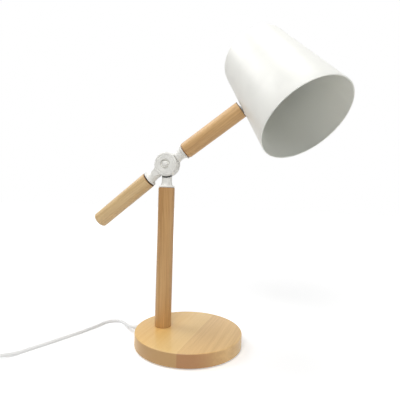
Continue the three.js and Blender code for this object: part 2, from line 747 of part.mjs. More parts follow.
const armTube = () =>
  turned(bar(TUBE_RADIUS, socketEnd(ARM_REACH), ARM_LENGTH - TUBE_END_X, TUBE_BORE / 2));

const swivelWasher = () =>
  turned(
    bar(
      SWIVEL_WASHER.radius,
      ARM_LENGTH - WASHER_X,
      ARM_LENGTH - WASHER_X + SWIVEL_WASHER.height,
      TUBE_HOLE,
    ),
  );

const swivelNut = () => {
  const low = ARM_LENGTH - SWIVEL_NUT_X;
  return solidOf(hexNut(TUBE_NUT.acrossFlats, TUBE_HOLE, low, low + TUBE_NUT.height));
};

// Shade, with +Z toward its mouth and +X toward the arm

function shadeShell() {
  const mouth = SHADE_MOUTH_Z;
  const back = SHADE_BACK_Z;
  const cornerZ = back + SHADE_CORNER;
  const cornerX = shadeRadius(cornerZ) - SHADE_CORNER / Math.cos(rad(SHADE_TAPER_DEG));
  const outer = arc(cornerX, cornerZ, SHADE_CORNER, -90, -SHADE_TAPER_DEG);
  const inner = arc(cornerX, cornerZ, SHADE_CORNER - SHADE_WALL, -SHADE_TAPER_DEG, -90);
  const lip = SHADE_WALL / 2;
  const shell = turned(
    [
      [0, back],
      ...outer,
      ...arc(shadeRadius(mouth) - lip, mouth - lip, lip, 0, 90, 2),
      [shadeRadius(mouth) - SHADE_WALL - HEM.extra, mouth],
      [shadeRadius(mouth - HEM.height) - SHADE_WALL - HEM.extra, mouth - HEM.height],
      [shadeRadius(mouth - HEM.height) - SHADE_WALL, mouth - HEM.height],
      ...inner,
      [0, back + SHADE_WALL],
    ],
    SHELL_SIDES,
  );
  return shell.subtract(turnedAlong(bar(TUBE_HOLE, 0, SHADE_MOUTH_RADIUS)));
}

// A moulded seat: flat toward the bracket, and the wall's own slope and curve behind.
function shadeSeat() {
  const near = SEAT_X;
  const far = shadeRadius(SEAT.half);
  const body = turnedAlong(softBar(SEAT.half, near, far, FLANGE_ROUND, 0), ROD_SIDES);
  const low = -SEAT.half - OVERRUN;
  const high = SEAT.half + OVERRUN;
  const space = SHADE_WALL + FIT_GAP;
  const inside = turned(
    [
      [0, low],
      [shadeRadius(low) - space, low],
      [shadeRadius(high) - space, high],
      [0, high],
    ],
    SHELL_SIDES,
  );
  return body.intersect(inside).subtract(turnedAlong(bar(TUBE_HOLE, 0, SHADE_MOUTH_RADIUS)));
}

// Bent steel strip from the swivel to the lampholder.
function bracket() {
  const { thickness, halfWidth, bend, reach } = BRACKET;
  const right = BRACKET_X;
  const top = BRACKET_TOP_Z - thickness / 2;
  const outline = [
    ...arc(right - bend, top + bend, bend, 0, -90),
    [-reach, top],
    [-reach, top + thickness],
    ...arc(right - bend, top + bend, bend - thickness, -90, 0),
    [right - thickness, reach],
    [right, reach],
  ];
  return plate(outline, -halfWidth, halfWidth)
    .subtract(turnedAlong(bar(TUBE_HOLE, 0, SHADE_MOUTH_RADIUS)))
    .subtract(turned(bar(TUBE_HOLE, top - OVERRUN, top + thickness + OVERRUN)));
}

const nipple = () => {
  const top = BRACKET_TOP_Z - BRACKET.thickness / 2 - NIPPLE.above;
  return turned(bar(TUBE_RADIUS, top, HOLDER_TOP + NIPPLE.below, TUBE_BORE / 2));
};

const nippleNut = () => {
  const high = BRACKET_TOP_Z - BRACKET.thickness / 2 - FIT_GAP;
  return solidOf(hexNut(TUBE_NUT.acrossFlats, TUBE_HOLE, high - NIPPLE_NUT_HEIGHT, high));
};

const terminalZ = () => HOLDER_TOP + HOLDER.floor / 2;

function lampholder() {
  const { radius, bodyRadius, ringHeight, cavity } = HOLDER;
  const ringLow = HOLDER_RIM - ringHeight;
  const edge = radius - bodyRadius;
  const ribs = [1, 2, 3].flatMap((k) => {
    const z = ringLow + (ringHeight * k) / 4;
    return [
      [radius, z - edge / 2],
      [radius - edge / 2, z],
      [radius, z + edge / 2],
    ];
  });
  let made = turned([
    [0, HOLDER_TOP],
    ...arc(bodyRadius - edge, HOLDER_TOP + edge, edge, -90, 0, 2),
    [bodyRadius, ringLow],
    [radius, ringLow],
    ...ribs,
    ...arc(radius - edge, HOLDER_RIM - edge, edge, 0, 90, 2),
    [cavity, HOLDER_RIM],
    [cavity, HOLDER_FLOOR],
    [0, HOLDER_FLOOR],
  ]);
  made = made.subtract(turned(bar(TUBE_HOLE, HOLDER_TOP - OVERRUN, HOLDER_TOP + NIPPLE.below + FIT_GAP)));
  const terminal = turnedAlong(bar(WIRE_RADIUS + FIT_GAP, terminalX(), radius + OVERRUN), WIRE_SIDES);
  for (const side of [-1, 1]) {
    made = made.subtract(terminal.translate(0, side * TERMINAL_Y, terminalZ()));
  }
  return made;
}

const terminalX = () => HOLDER.bodyRadius - TERMINAL_Y;

const holderSleeve = () => {
  const high = HOLDER_RIM - SLEEVE.inset;
  return turned(bar(SLEEVE.outer, high - SLEEVE.length, high, SLEEVE.inner));
};

const holderContact = () =>
  turned(bar(CONTACT.radius, HOLDER_FLOOR + FIT_GAP, HOLDER_FLOOR + FIT_GAP + CONTACT.height), FINE_SIDES);

function bulbGlobe() {
  const startDeg = -90 + (Math.asin(BULB_NECK_RADIUS / BULB_RADIUS) * 180) / Math.PI;
  const outer = arc(0, BULB_MIDDLE, BULB_RADIUS, startDeg, 90, GLOBE_STEPS);
  const inner = arc(0, BULB_MIDDLE, BULB_RADIUS - BULB_WALL, 90, startDeg, GLOBE_STEPS);
  const onAxis = (points) => points.map(([r, z]) => [r < WELD ? 0 : r, z]);
  return turned([...onAxis(inner), ...onAxis(outer)]);
}

function bulbCollar() {
  const high = BULB_NECK_Z - FIT_GAP;
  const low = capTop() + FIT_GAP;
  const step = HOLDER_RIM + BULB_COLLAR.lip;
  return turned([
    [0, low],
    [CAP.radius, low],
    [CAP.radius, step],
    [BULB_NECK_RADIUS, high - BULB_COLLAR.edge],
    [BULB_NECK_RADIUS, high],
    [0, high],
  ]);
}

const capLow = () => BULB_BASE + CAP.tipHeight + FIT_GAP;
const capTop = () => capLow() + CAP.length;

// The screw cap, its thread drawn as rolled rings.
function bulbCap() {
  const plain = CAP.radius - CAP.thread;
  const pitch = CAP.length / (CAP.turns + 1);
  const rings = Array.from({ length: CAP.turns }, (_, i) => {
    const z = capLow() + pitch * (i + 1);
    return [
      [plain, z - pitch / 2],
      [CAP.radius, z - pitch / 6],
      [CAP.radius, z + pitch / 6],
    ];
  }).flat();
  const profile = [
    [0, capLow()],
    [CAP.tipRadius + CAP.thread, capLow()],
    ...rings,
    [plain, capTop()],
    [0, capTop()],
  ];
  return turned(profile, FINE_SIDES);
}

const bulbContact = () =>
  turned(
    [
      [0, BULB_BASE],
      [CAP.tipRadius / 2, BULB_BASE],
      [CAP.tipRadius, BULB_BASE + CAP.tipHeight / 2],
      [CAP.tipRadius, BULB_BASE + CAP.tipHeight],
      [0, BULB_BASE + CAP.tipHeight],
    ],
    FINE_SIDES,
  );

// Wires. side is -1 or 1 for the two of a pair.

// From the cord's end up the upright into the hinge's groove.
function postWire(side) {
  const off = (side * WIRE_PITCH) / 2;
  const start = CORD_END_X + FIT_GAP;
  const mouth = TUBE_LOWER_END;
  const lowest = mouth - WIRE_PITCH - WIRE_RADIUS;
  const wayShares = [0.84, 0.6, 0.26, 0.04];
  const [leaving, falling, bottom, rising] = wayShares.map((share) => POST_X + (start - POST_X) * share);
  const neckZ = HINGE_Z - socketEnd(POST_REACH);
  const grooveY = TONGUE_HALF - WIRE_GROOVE.depth / 2;
  return strand(
    [
      [start, off, CORD_Z],
      [leaving, off, CORD_Z - WIRE_RADIUS],
      [falling, off, mouth],
      [bottom, off, lowest],
      [rising, off, mouth - WIRE_RADIUS],
      [POST_X, off, mouth + TUBE_DIAMETER],
      [POST_X + off * Math.SQRT1_2, off * Math.SQRT1_2, (mouth + neckZ) / 2],
      [POST_X + off, 0, neckZ - TUBE_DIAMETER],
      [POST_X + off, 0, neckZ],
      [POST_X + off, grooveY, HINGE_Z - DISC_RADIUS],
      [POST_X + off, grooveY, HINGE_Z - WIRE_GROOVE.outer],
      [POST_X + off, grooveY, HINGE_Z - WIRE_GROOVE.inner - WIRE_PITCH],
    ],
    WIRE_RADIUS,
    WIRE_SIDES,
    WIRE_STEPS.post,
  );
}

// From the hinge's groove along the arm's tube.
function armWire(side) {
  const off = (side * WIRE_PITCH) / 2;
  const y = OUTER_NEAR + WIRE_GROOVE.depth / 2;
  const neckZ = socketEnd(ARM_REACH);
  return strand(
    [
      [off, y, WIRE_GROOVE.inner + WIRE_PITCH],
      [off, y, WIRE_GROOVE.outer],
      [off, y, DISC_RADIUS],
      [off, y / 2, (DISC_RADIUS + neckZ) / 2],
      [off, 0, neckZ + WIRE_PITCH],
      [off, 0, neckZ + TUBE_DIAMETER],
      [off, 0, ARM_LENGTH / 2],
      [off, 0, ARM_LENGTH - TUBE_END_X - TUBE_DIAMETER],
      [off, 0, ARM_LENGTH - TUBE_END_X],
    ],
    WIRE_RADIUS,
    WIRE_SIDES,
    WIRE_STEPS.arm,
  );
}

// From the mouth of the arm's tube to the lampholder's side, in the shade's frame.
function holderWire(side) {
  const off = (side * WIRE_PITCH) / 2;
  const y = side * TERMINAL_Y;
  const startX = TUBE_END_X - FIT_GAP;
  const endZ = terminalZ();
  const endX = terminalX() + FIT_GAP;
  const wayShares = [0.86, 0.66, 0.52, 0.36];
  const dropShares = [0.03, 0.25, 0.6, 0.9];
  const sideways = [off, (off + y) / 2, y, y];
  const bend = wayShares.map((share, i) => [
    endX + (startX - endX) * share,
    sideways[i],
    endZ * dropShares[i],
  ]);
  return strand(
    [
      [startX, off, 0],
      ...bend,
      [HOLDER.radius + WIRE_PITCH, y, endZ],
      [HOLDER.bodyRadius, y, endZ],
      [endX, y, endZ],
    ],
    WIRE_RADIUS,
    WIRE_SIDES,
    WIRE_STEPS.holder,
  );
}

// Cord

// Where the cord is seen, from the clamp to the switch.
const cordRoute = () => [
  [CORD_END_X, 0, CORD_Z],
  [-68, 0, CORD_Z],
  [-80, 0, CORD_Z],
  [-90, 0, CORD_Z],
  [-96.5, 1.6, 10.5],
  [-103, 7, 8.2],
  [-111.5, 15.2, 5.4],
  [-120.5, 24.2, 3.4],
  [-128.8, 31, 2.6],
  [-137.5, 34.2, 2.6],
  [-145.2, 32.8, 2.6],
  [-152, 28.3, 2.6],
  [-156.5, 21.5, 2.6],
  [-158.6, 13.5, 2.6],
  [-160.8, 1, 2.6],
  [-164.7, -12.8, 2.6],
  [-168.7, -26, 2.6],
  [-174, -41, 2.6],
  [-185, -70, 2.6],
  [-196, -98, 2.6],
  [-206, -123, 3.2],
  [-212.2, -138.6, 6.4],
  [-215.4, -146.9, 7.9],
  [-217.7, -152.6, 8.3],
];

const cordRun = () => strand(cordRoute(), CORD_RADIUS, CORD_SIDES, CORD_STEPS.run);

// In-line switch, drawn along +X from its inlet end and then turned to its heading.

function switchOutline() {
  const { length, width, corner } = SWITCH;
  const half = width / 2;
  return [
    ...arc(length - corner, half - corner, corner, 0, 90),
    ...arc(corner, half - corner, corner, 90, 180),
    ...arc(corner, corner - half, corner, 180, 270),
    ...arc(length - corner, corner - half, corner, 270, 360),
  ];
}

// One half of the case: a rounded slab whose outer edge is bevelled.
function switchHalf(low, high, bevelUp) {
  const { bevel } = SWITCH;
  const options = {
    depth: high - low - bevel,
    bevelThickness: bevel,
    bevelSize: bevel,
    bevelOffset: -bevel,
    bevelSegments: 2,
  };
  const slab = solidOf(new THREE.ExtrudeGeometry(shapeOf(switchOutline()), options));
  const full = slab.translate(0, 0, bevelUp ? low : low + bevel);
  const span = SWITCH.length;
  return full.intersect(block([-span, -span, low], [span * 2, span, high]));
}

const switchMiddle = () => FIT_GAP + SWITCH.height / 2;
const rockerX = () => SWITCH.length / 2;
const rockerZ = () => SWITCH.height + FIT_GAP - ROCKER.depth / 2 - ROCKER.pivotRadius;

function switchTop() {
  const low = switchMiddle() + FIT_GAP / 2;
  const x = rockerX();
  const halfX = ROCKER.length / 2 + ROCKER_WINDOW_SPACE;
  const halfY = ROCKER.width / 2 + FIT_GAP;
  const window = block([x - halfX, -halfY, low - OVERRUN], [x + halfX, halfY, SWITCH.height * 2]);
  const reach = halfY + ROCKER.pivotRadius + FIT_GAP;
  const hole = turnedAcross(bar(ROCKER.pivotRadius + FIT_GAP, -reach, reach), FINE_SIDES);
  const pivot = hole.translate(x, 0, rockerZ());
  return switchHalf(low, FIT_GAP + SWITCH.height, true).subtract(window).subtract(pivot);
}

const switchBottom = () => switchHalf(FIT_GAP, switchMiddle() - FIT_GAP / 2, false);

// The rocker about its pivot, in the off position: two tilted faces that meet in a dip.
function switchRocker() {
  const half = ROCKER.length / 2;
  const top = ROCKER.depth;
  const outline = [
    [-half, -ROCKER.crown],
    [half, -ROCKER.crown],
    [half, top],
    [0, top - ROCKER.dip],
    [-half, top],
  ];
  const cap = plate(outline, -ROCKER.width / 2, ROCKER.width / 2);
  const reach = ROCKER.width / 2 + FIT_GAP + ROCKER.pivotRadius;
  return cap.add(turnedAcross(bar(ROCKER.pivotRadius, -reach, reach), FINE_SIDES));
}

// Coil: spirals in on the lower layer, climbs where it reverses, and out on the upper one.
function coilPoint(turn) {
  const middle = COIL.turns / 2;
  const outer = COIL.middleRadius + (COIL.pitch * middle) / 2;
  const inward = Math.min(turn, COIL.turns - turn);
  const climb = THREE.MathUtils.clamp((turn - middle) * 2 + 0.5, 0, 1);
  const angle = rad(COIL.startDeg - 360 * turn);
  const radius = outer - COIL.pitch * inward;
  const rise = (1 - Math.cos(Math.PI * climb)) / 2;
  const z = COIL_LOW_Z + (COIL_HIGH_Z - COIL_LOW_Z) * rise;
  return new THREE.Vector3(COIL.x + radius * Math.cos(angle), COIL.y + radius * Math.sin(angle), z);
}

// A level direction along the cord at one end of the coil.
function coilHeading(turn) {
  const angle = rad(COIL.startDeg - 360 * turn - 90);
  return new THREE.Vector3(Math.cos(angle), Math.sin(angle), 0);
}

function coilEnds() {
  const stub = CORD_RADIUS * 2;
  const start = coilPoint(0).addScaledVector(coilHeading(0), -stub);
  const end = coilPoint(COIL.turns).addScaledVector(coilHeading(COIL.turns), stub);
  return { start, end };
}

function coilPath() {
  const { start, end } = coilEnds();
  const count = Math.round(COIL.turns * COIL_STEPS);
  const loops = Array.from({ length: count + 1 }, (_, i) => coilPoint((COIL.turns * i) / count));
  return [start, ...loops, end];
}

// One unbroken tube through the points given, its section level with the floor.
function cordCoil() {
  const path = coilPath();
  const up = new THREE.Vector3(0, 0, 1);
  const rings = path.map((point, i) => {
    const ahead = path[Math.min(i + 1, path.length - 1)];
    const behind = path[Math.max(i - 1, 0)];
    const tangent = ahead.clone().sub(behind).normalize();
    const side = up.clone().cross(tangent).normalize();
    const over = tangent.clone().cross(side);
    return Array.from({ length: COIL_SIDES }, (_, k) => {
      const angle = (2 * Math.PI * (k + 0.5)) / COIL_SIDES;
      return point
        .clone()
        .addScaledVector(side, CORD_RADIUS * Math.cos(angle))
        .addScaledVector(over, CORD_RADIUS * Math.sin(angle));
    });
  });
  const positions = rings.flat().flatMap((p) => p.toArray());
  const faces = [];
  for (let i = 0; i + 1 < rings.length; i++) {
    for (let k = 0; k < COIL_SIDES; k++) {
      const a = i * COIL_SIDES + k;
      const b = i * COIL_SIDES + ((k + 1) % COIL_SIDES);
      faces.push(a, a + COIL_SIDES, b, b, a + COIL_SIDES, b + COIL_SIDES);
    }
  }
  const last = (rings.length - 1) * COIL_SIDES;
  for (let k = 1; k + 1 < COIL_SIDES; k++) {
    faces.push(0, k, k + 1, last, last + k + 1, last + k);
  }
  const geometry = new THREE.BufferGeometry();
  geometry.setAttribute("position", new THREE.Float32BufferAttribute(positions, 3));
  geometry.setIndex(faces);
  return solidOf(geometry);
}

// The least space that the coil's tube keeps to itself, measured between its points.
function coilSelfGap() {
  const path = coilPath().slice(1, -1);
  let least = Infinity;
  path.forEach((p, i) => {
    for (let j = i + Math.round(COIL_STEPS / 2); j < path.length; j++) {
      least = Math.min(least, segmentDistance(p, path[j], path[Math.min(j + 1, path.length - 1)]));
    }
  });
  return least - CORD_RADIUS * 2;
}

function segmentDistance(point, a, b) {
  const nearest = new THREE.Line3(a, b).closestPointToPoint(point, true, new THREE.Vector3());
  return nearest.distanceTo(point);
}

// A strap round the coil's bundle, in the coil's own frame at one angle.
function coilTie() {
  const turnsIn = (COIL.startDeg - TIE.atDeg) / 360;
  const centre = new THREE.Vector3(COIL.x, COIL.y, 0);
  const distance = (turn) => coilPoint(turn).setZ(0).distanceTo(centre);
  const outer = distance(turnsIn);
  const inner = distance(turnsIn + Math.floor(COIL.turns / 2 - turnsIn));
  const space = CORD_RADIUS + TIE.space;
  const ring = (grow) => {
    const round = CORD_RADIUS;
    const [left, right] = [inner - space - grow, outer + space + grow];
    const [low, high] = [COIL_LOW_Z - space - grow, COIL_HIGH_Z + space + grow];
    return [
      ...arc(right - round, high - round, round, 0, 90),
      ...arc(left + round, high - round, round, 90, 180),
      ...arc(left + round, low + round, round, 180, 270),
      ...arc(right - round, low + round, round, 270, 360),
    ];
  };
  const half = TIE.length / 2;
  const hole = plate(ring(0), -half - OVERRUN, half + OVERRUN);
  return plate(ring(TIE.thickness), -half, half).subtract(hole);
}

// From the switch's outlet to the coil.
function cordLink() {
  const heading = rad(SWITCH_HEADING_DEG);
  const along = (distance) => [
    SWITCH_AT[0] + Math.cos(heading) * distance,
    SWITCH_AT[1] + Math.sin(heading) * distance,
  ];
  const { start } = coilEnds();
  const z = switchMiddle();
  return strand(
    [
      [...along(SWITCH.length + FIT_GAP), z],
      [...along(SWITCH.length + CORD_RADIUS * 2), z],
      [-247.5, -223.5, 7],
      [-258.5, -229.3, 5],
      [start.x + COIL_LEAD * 2, start.y, COIL_LOW_Z + FIT_GAP],
      [start.x + COIL_LEAD, start.y, COIL_LOW_Z],
      [start.x + FIT_GAP, start.y, COIL_LOW_Z],
    ],
    CORD_RADIUS,
    CORD_SIDES,
    CORD_STEPS.link,
  );
}

const plugMiddle = () => FIT_GAP + PLUG.height / 2;

// From the coil to the plug.
function cordTail() {
  const { end } = coilEnds();
  const low = plugMiddle();
  const from = end.y + FIT_GAP;
  const straight = CORD_TAIL / 5;
  return strand(
    [
      [end.x, from, COIL_HIGH_Z],
      [end.x, from + straight, COIL_HIGH_Z],
      [end.x, from + CORD_TAIL / 2, (COIL_HIGH_Z + low) / 2],
      [end.x, from + CORD_TAIL - straight, low],
      [end.x, from + CORD_TAIL, low],
    ],
    CORD_RADIUS,
    CORD_SIDES,
    CORD_STEPS.tail,
  );
}

// Plug, drawn along +X from the tip of its cord sleeve, flat side down.
function plugBody() {
  const { width, height, faceLength, taperLength, neckLength } = PLUG;
  const length = neckLength + taperLength + faceLength;
  const half = width / 2 - PLUG_ROUND;
  const rear = PLUG_REAR_WIDTH / 2 - PLUG_ROUND;
  const shape = shapeOf([
    [neckLength + PLUG_ROUND, -rear],
    [neckLength + taperLength, -half],
    [length - PLUG_ROUND, -half],
    [length - PLUG_ROUND, half],
    [neckLength + taperLength, half],
    [neckLength + PLUG_ROUND, rear],
  ]);
  const options = {
    depth: height - PLUG_ROUND * 2,
    bevelThickness: PLUG_ROUND,
    bevelSize: PLUG_ROUND,
    bevelSegments: 3,
  };
  const slab = solidOf(new THREE.ExtrudeGeometry(shape, options));
  const body = slab.translate(0, 0, PLUG_ROUND - height / 2);
  const sleeve = turnedAlong([
    [0, 0],
    [PLUG_NECK.tip, 0],
    [PLUG_NECK.root, neckLength + PLUG_ROUND],
    [0, neckLength + PLUG_ROUND],
  ]);
  return [-1, 1].reduce(
    (made, side) => made.subtract(pinHole().translate(0, (side * PIN.spacing) / 2, 0)),
    body.add(sleeve),
  );
}

const plugLength = () => PLUG.neckLength + PLUG.taperLength + PLUG.faceLength;
const pinHole = () =>
  turnedAlong(
    bar(PIN.radius + FIT_GAP, plugLength() - PIN.radius * 2, plugLength() + OVERRUN),
    FINE_SIDES,
  );

const plugPin = () => {
  const low = plugLength() - PIN.radius * 2 + FIT_GAP;
  return turnedAlong(
    softBar(PIN.radius, low, plugLength() + PIN.length, FIT_GAP, PIN.radius / 2),
    FINE_SIDES,
  );
};

// Assembly

const group = (x, y, z, ...children) => {
  const made = new THREE.Group();
  made.position.set(x, y, z);
  if (children.length) made.add(...children);
  return made;
};

function foot() {
  const screws = ballastScrewPlaces().map(([x, y], i) =>
    group(x, y, 0, meshOf(`ballast_screw_${i + 1}`, woodScrew(), STEEL)),
  );
  const clampScrews = clampScrewPlaces().map((y, i) =>
    group(clampX(), y, 0, meshOf(`clamp_screw_${i + 1}`, clampScrew(), STEEL)),
  );
  return group(
    0,
    0,
    0,
    meshOf("base_disc", baseDisc(), WOOD),
    meshOf("base_ballast", ballast(), DARK_STEEL),
    meshOf("base_pad", basePad(), FOAM),
    meshOf("cord_relief", cordRelief(), CORD_PVC),
    meshOf("cord_clamp", cordClamp(), NYLON),
    ...screws,
    ...clampScrews,
  );
}

const upright = () =>
  group(
    POST_X,
    0,
    0,
    meshOf("post_rod", postRod(), WOOD),
    meshOf("post_tube", postTube(), STEEL),
    meshOf("post_washer", postWasher(), STEEL),
    meshOf("post_nut", postNut(), STEEL),
  );

function hinge() {
  const post = group(0, 0, 0, meshOf("post_knuckle", postKnuckle(), WHITE_METAL));
  post.rotation.y = Math.PI;
  return group(
    POST_X,
    0,
    HINGE_Z,
    post,
    meshOf("friction_washer_front", frictionWasher(-1), NYLON),
    meshOf("friction_washer_rear", frictionWasher(1), NYLON),
  );
}

function tail() {
  const made = group(
    POST_X,
    0,
    HINGE_Z,
    meshOf("tail_knuckle", tailKnuckle(), WHITE_METAL),
    meshOf("tail_stud", tailStud(), STEEL),
    meshOf("tail_rod", tailRod(), WOOD),
    meshOf("hinge_bolt", hingeBolt(), WHITE_METAL),
    meshOf("hinge_nut", hingeNut(), STEEL),
  );
  made.rotation.y = -rad(90 + TAIL_DROP_DEG);
  return made;
}

function shade() {
  const made = group(
    0,
    0,
    0,
    meshOf("shade", shadeShell(), WHITE_METAL),
    meshOf("shade_seat", shadeSeat(), NYLON),
    meshOf("holder_bracket", bracket(), STEEL),
    meshOf("holder_nipple", nipple(), STEEL),
    meshOf("nipple_nut", nippleNut(), STEEL),
    meshOf("lampholder", lampholder(), WHITE_PLASTIC),
    meshOf("holder_sleeve", holderSleeve(), BRASS),
    meshOf("holder_contact", holderContact(), BRASS),
    meshOf("bulb_globe", bulbGlobe(), OPAL),
    meshOf("bulb_collar", bulbCollar(), WHITE_PLASTIC),
    meshOf("bulb_cap", bulbCap(), STEEL),
    meshOf("bulb_contact", bulbContact(), BRASS),
    meshOf("holder_wire_live", holderWire(-1), LIVE_PVC),
    meshOf("holder_wire_neutral", holderWire(1), NEUTRAL_PVC),
  );
  made.rotation.y = Math.PI / 2;
  const swivel = group(0, 0, ARM_LENGTH, made);
  swivel.rotation.z = -rad(SHADE_SWIVEL_DEG);
  return swivel;
}

function arm() {
  const made = group(
    POST_X,
    0,
    HINGE_Z,
    meshOf("arm_knuckle", armKnuckle(), WHITE_METAL),
    meshOf("spring_washer", springWasher(), STEEL),
    meshOf("arm_rod", armRod(), WOOD),
    meshOf("arm_tube", armTube(), STEEL),
    meshOf("swivel_collar", swivelCollar(), NYLON),
    meshOf("swivel_washer", swivelWasher(), STEEL),
    meshOf("swivel_nut", swivelNut(), STEEL),
    meshOf("arm_wire_live", armWire(-1), LIVE_PVC),
    meshOf("arm_wire_neutral", armWire(1), NEUTRAL_PVC),
    shade(),
  );
  made.rotation.y = rad(90 - ARM_RISE_DEG);
  return made;
}

function inlineSwitch() {
  const tilted = meshOf("switch_rocker", switchRocker(), WHITE_PLASTIC);
  const rocker = group(rockerX(), 0, rockerZ(), tilted);
  rocker.rotation.y = rad(ROCKER.tiltDeg);
  const made = group(
    ...SWITCH_AT,
    0,
    meshOf("switch_top", switchTop(), WHITE_PLASTIC),
    meshOf("switch_bottom", switchBottom(), WHITE_PLASTIC),
    rocker,
  );
  made.rotation.z = rad(SWITCH_HEADING_DEG);
  return made;
}

function tie() {
  const made = group(COIL.x, COIL.y, 0, meshOf("coil_tie", coilTie(), WHITE_PLASTIC));
  made.rotation.z = rad(TIE.atDeg);
  return made;
}

function plug() {
  const { end } = coilEnds();
  const body = meshOf("plug_body", plugBody(), CORD_PVC);
  const made = group(end.x, end.y + CORD_TAIL + FIT_GAP * 2, plugMiddle(), body);
  ["left", "right"].forEach((name, i) => {
    const pin = meshOf(`plug_pin_${name}`, plugPin(), STEEL);
    made.add(group(0, ((i ? -1 : 1) * PIN.spacing) / 2, 0, pin));
  });
  made.rotation.z = Math.PI / 2;
  return made;
}

const wires = () =>
  group(
    0,
    0,
    0,
    meshOf("post_wire_live", postWire(-1), LIVE_PVC),
    meshOf("post_wire_neutral", postWire(1), NEUTRAL_PVC),
  );

const cord = () =>
  group(
    0,
    0,
    0,
    meshOf("cord_run", cordRun(), CORD_PVC),
    meshOf("cord_link", cordLink(), CORD_PVC),
    meshOf("cord_coil", cordCoil(), CORD_PVC),
    meshOf("cord_tail", cordTail(), CORD_PVC),
    tie(),
    inlineSwitch(),
    plug(),
  );

console.log(`least gap of the coil to itself: ${coilSelfGap().toFixed(2)} mm`);

const lamp = new THREE.Group();
lamp.name = "desk_lamp";
lamp.add(foot(), upright(), wires(), hinge(), tail(), arm(), cord());

export default lamp;
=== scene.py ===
"""A wooden desk lamp with a white metal shade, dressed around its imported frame. Metres, +Z up."""

import json
import math

import bmesh
import bpy
from mathutils import Matrix, Vector

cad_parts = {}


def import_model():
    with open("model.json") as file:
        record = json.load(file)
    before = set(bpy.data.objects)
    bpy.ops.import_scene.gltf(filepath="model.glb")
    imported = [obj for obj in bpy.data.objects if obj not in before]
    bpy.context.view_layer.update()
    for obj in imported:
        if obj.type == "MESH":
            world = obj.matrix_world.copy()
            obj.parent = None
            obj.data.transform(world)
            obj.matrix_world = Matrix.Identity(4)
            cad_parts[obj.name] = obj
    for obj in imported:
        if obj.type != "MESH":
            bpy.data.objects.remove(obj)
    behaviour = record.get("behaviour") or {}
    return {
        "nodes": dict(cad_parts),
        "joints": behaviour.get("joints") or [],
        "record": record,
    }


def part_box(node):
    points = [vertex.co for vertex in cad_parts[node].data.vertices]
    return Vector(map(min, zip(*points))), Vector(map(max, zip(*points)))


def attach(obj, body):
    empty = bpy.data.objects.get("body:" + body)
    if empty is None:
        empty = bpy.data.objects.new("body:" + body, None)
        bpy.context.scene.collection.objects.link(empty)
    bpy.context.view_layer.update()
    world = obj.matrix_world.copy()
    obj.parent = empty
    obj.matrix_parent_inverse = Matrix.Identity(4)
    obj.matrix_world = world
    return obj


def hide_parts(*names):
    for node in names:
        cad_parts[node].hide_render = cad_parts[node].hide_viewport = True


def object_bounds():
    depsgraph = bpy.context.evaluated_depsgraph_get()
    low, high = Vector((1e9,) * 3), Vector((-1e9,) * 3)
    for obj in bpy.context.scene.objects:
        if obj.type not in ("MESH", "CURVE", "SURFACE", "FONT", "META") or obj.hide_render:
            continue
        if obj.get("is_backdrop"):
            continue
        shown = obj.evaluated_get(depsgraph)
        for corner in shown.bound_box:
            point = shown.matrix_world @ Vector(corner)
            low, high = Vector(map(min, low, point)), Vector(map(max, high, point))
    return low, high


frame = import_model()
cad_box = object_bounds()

MM = 0.001
CLEAR = 0.3 * MM  # between two pieces that touch
PAST = 1 * MM  # how far a cutting shape runs past the face it cuts
HAIR = 0.02 * MM  # keeps the faces of two joined shapes out of one plane
WELD = 1e-6  # points nearer than this become one
SPUN_WELD = 1e-7  # the same where a turned shape closes on itself


def placed(name, data):
    """A new object in the scene."""
    new = bpy.data.objects.new(name, data)
    bpy.context.scene.collection.objects.link(new)
    return new


def meshed(name, made):
    """A bmesh written to a mesh and let go."""
    mesh = bpy.data.meshes.new(name)
    made.to_mesh(mesh)
    made.free()
    return mesh


# The hinge, the swivel and the three directions that carry the lamp

JOINTS = {joint["name"]: joint for joint in frame["joints"]}
HINGE = Vector(JOINTS["arm_tilt"]["pos_m"])
SWIVEL = Vector(JOINTS["shade_swivel"]["pos_m"])
ARM_WAY = Vector(JOINTS["shade_swivel"]["axis"]).normalized()
ACROSS = Vector((0, 1, 0))
TAIL_DROP = math.radians(38)
SHADE_TURN = math.radians(23)
TAIL_WAY = Vector((-math.cos(TAIL_DROP), 0, -math.sin(TAIL_DROP)))


def axes(origin, y, z):
    """The matrix that puts a piece drawn along +Z, with its own +Y across, at its place."""
    x = y.cross(z).normalized()
    turn = Matrix((x, z.cross(x), z)).transposed().to_4x4()
    return Matrix.Translation(origin) @ turn


def shade_axes():
    """The shade's own frame: +Z toward its mouth and +X back along the arm."""
    down = ACROSS.cross(ARM_WAY)
    mouth_way = down * math.cos(SHADE_TURN) - ACROSS * math.sin(SHADE_TURN)
    return axes(SWIVEL, mouth_way.cross(-ARM_WAY), mouth_way)


POST_AXES = axes(HINGE, ACROSS, Vector((0, 0, -1)))
TAIL_AXES = axes(HINGE, ACROSS, TAIL_WAY)
ARM_AXES = axes(HINGE, ACROSS, ARM_WAY)
SHADE_AXES = shade_axes()
UPRIGHT_AXES = Matrix.Translation((HINGE.x, HINGE.y, 0))

# Camera, fitted to the outlines of the lamp in a square picture
PICTURE = 400
FOCAL_PIXELS = 331.88
SENSOR = 36
CAMERA_AT = Vector((161.27, -473.93, 219.13)) * MM
CAMERA_YAW = math.radians(-17.34)
CAMERA_PITCH = math.radians(-0.36)
CAMERA_ROLL = math.radians(1.65)
HALF_PIXEL = 0.5 / PICTURE


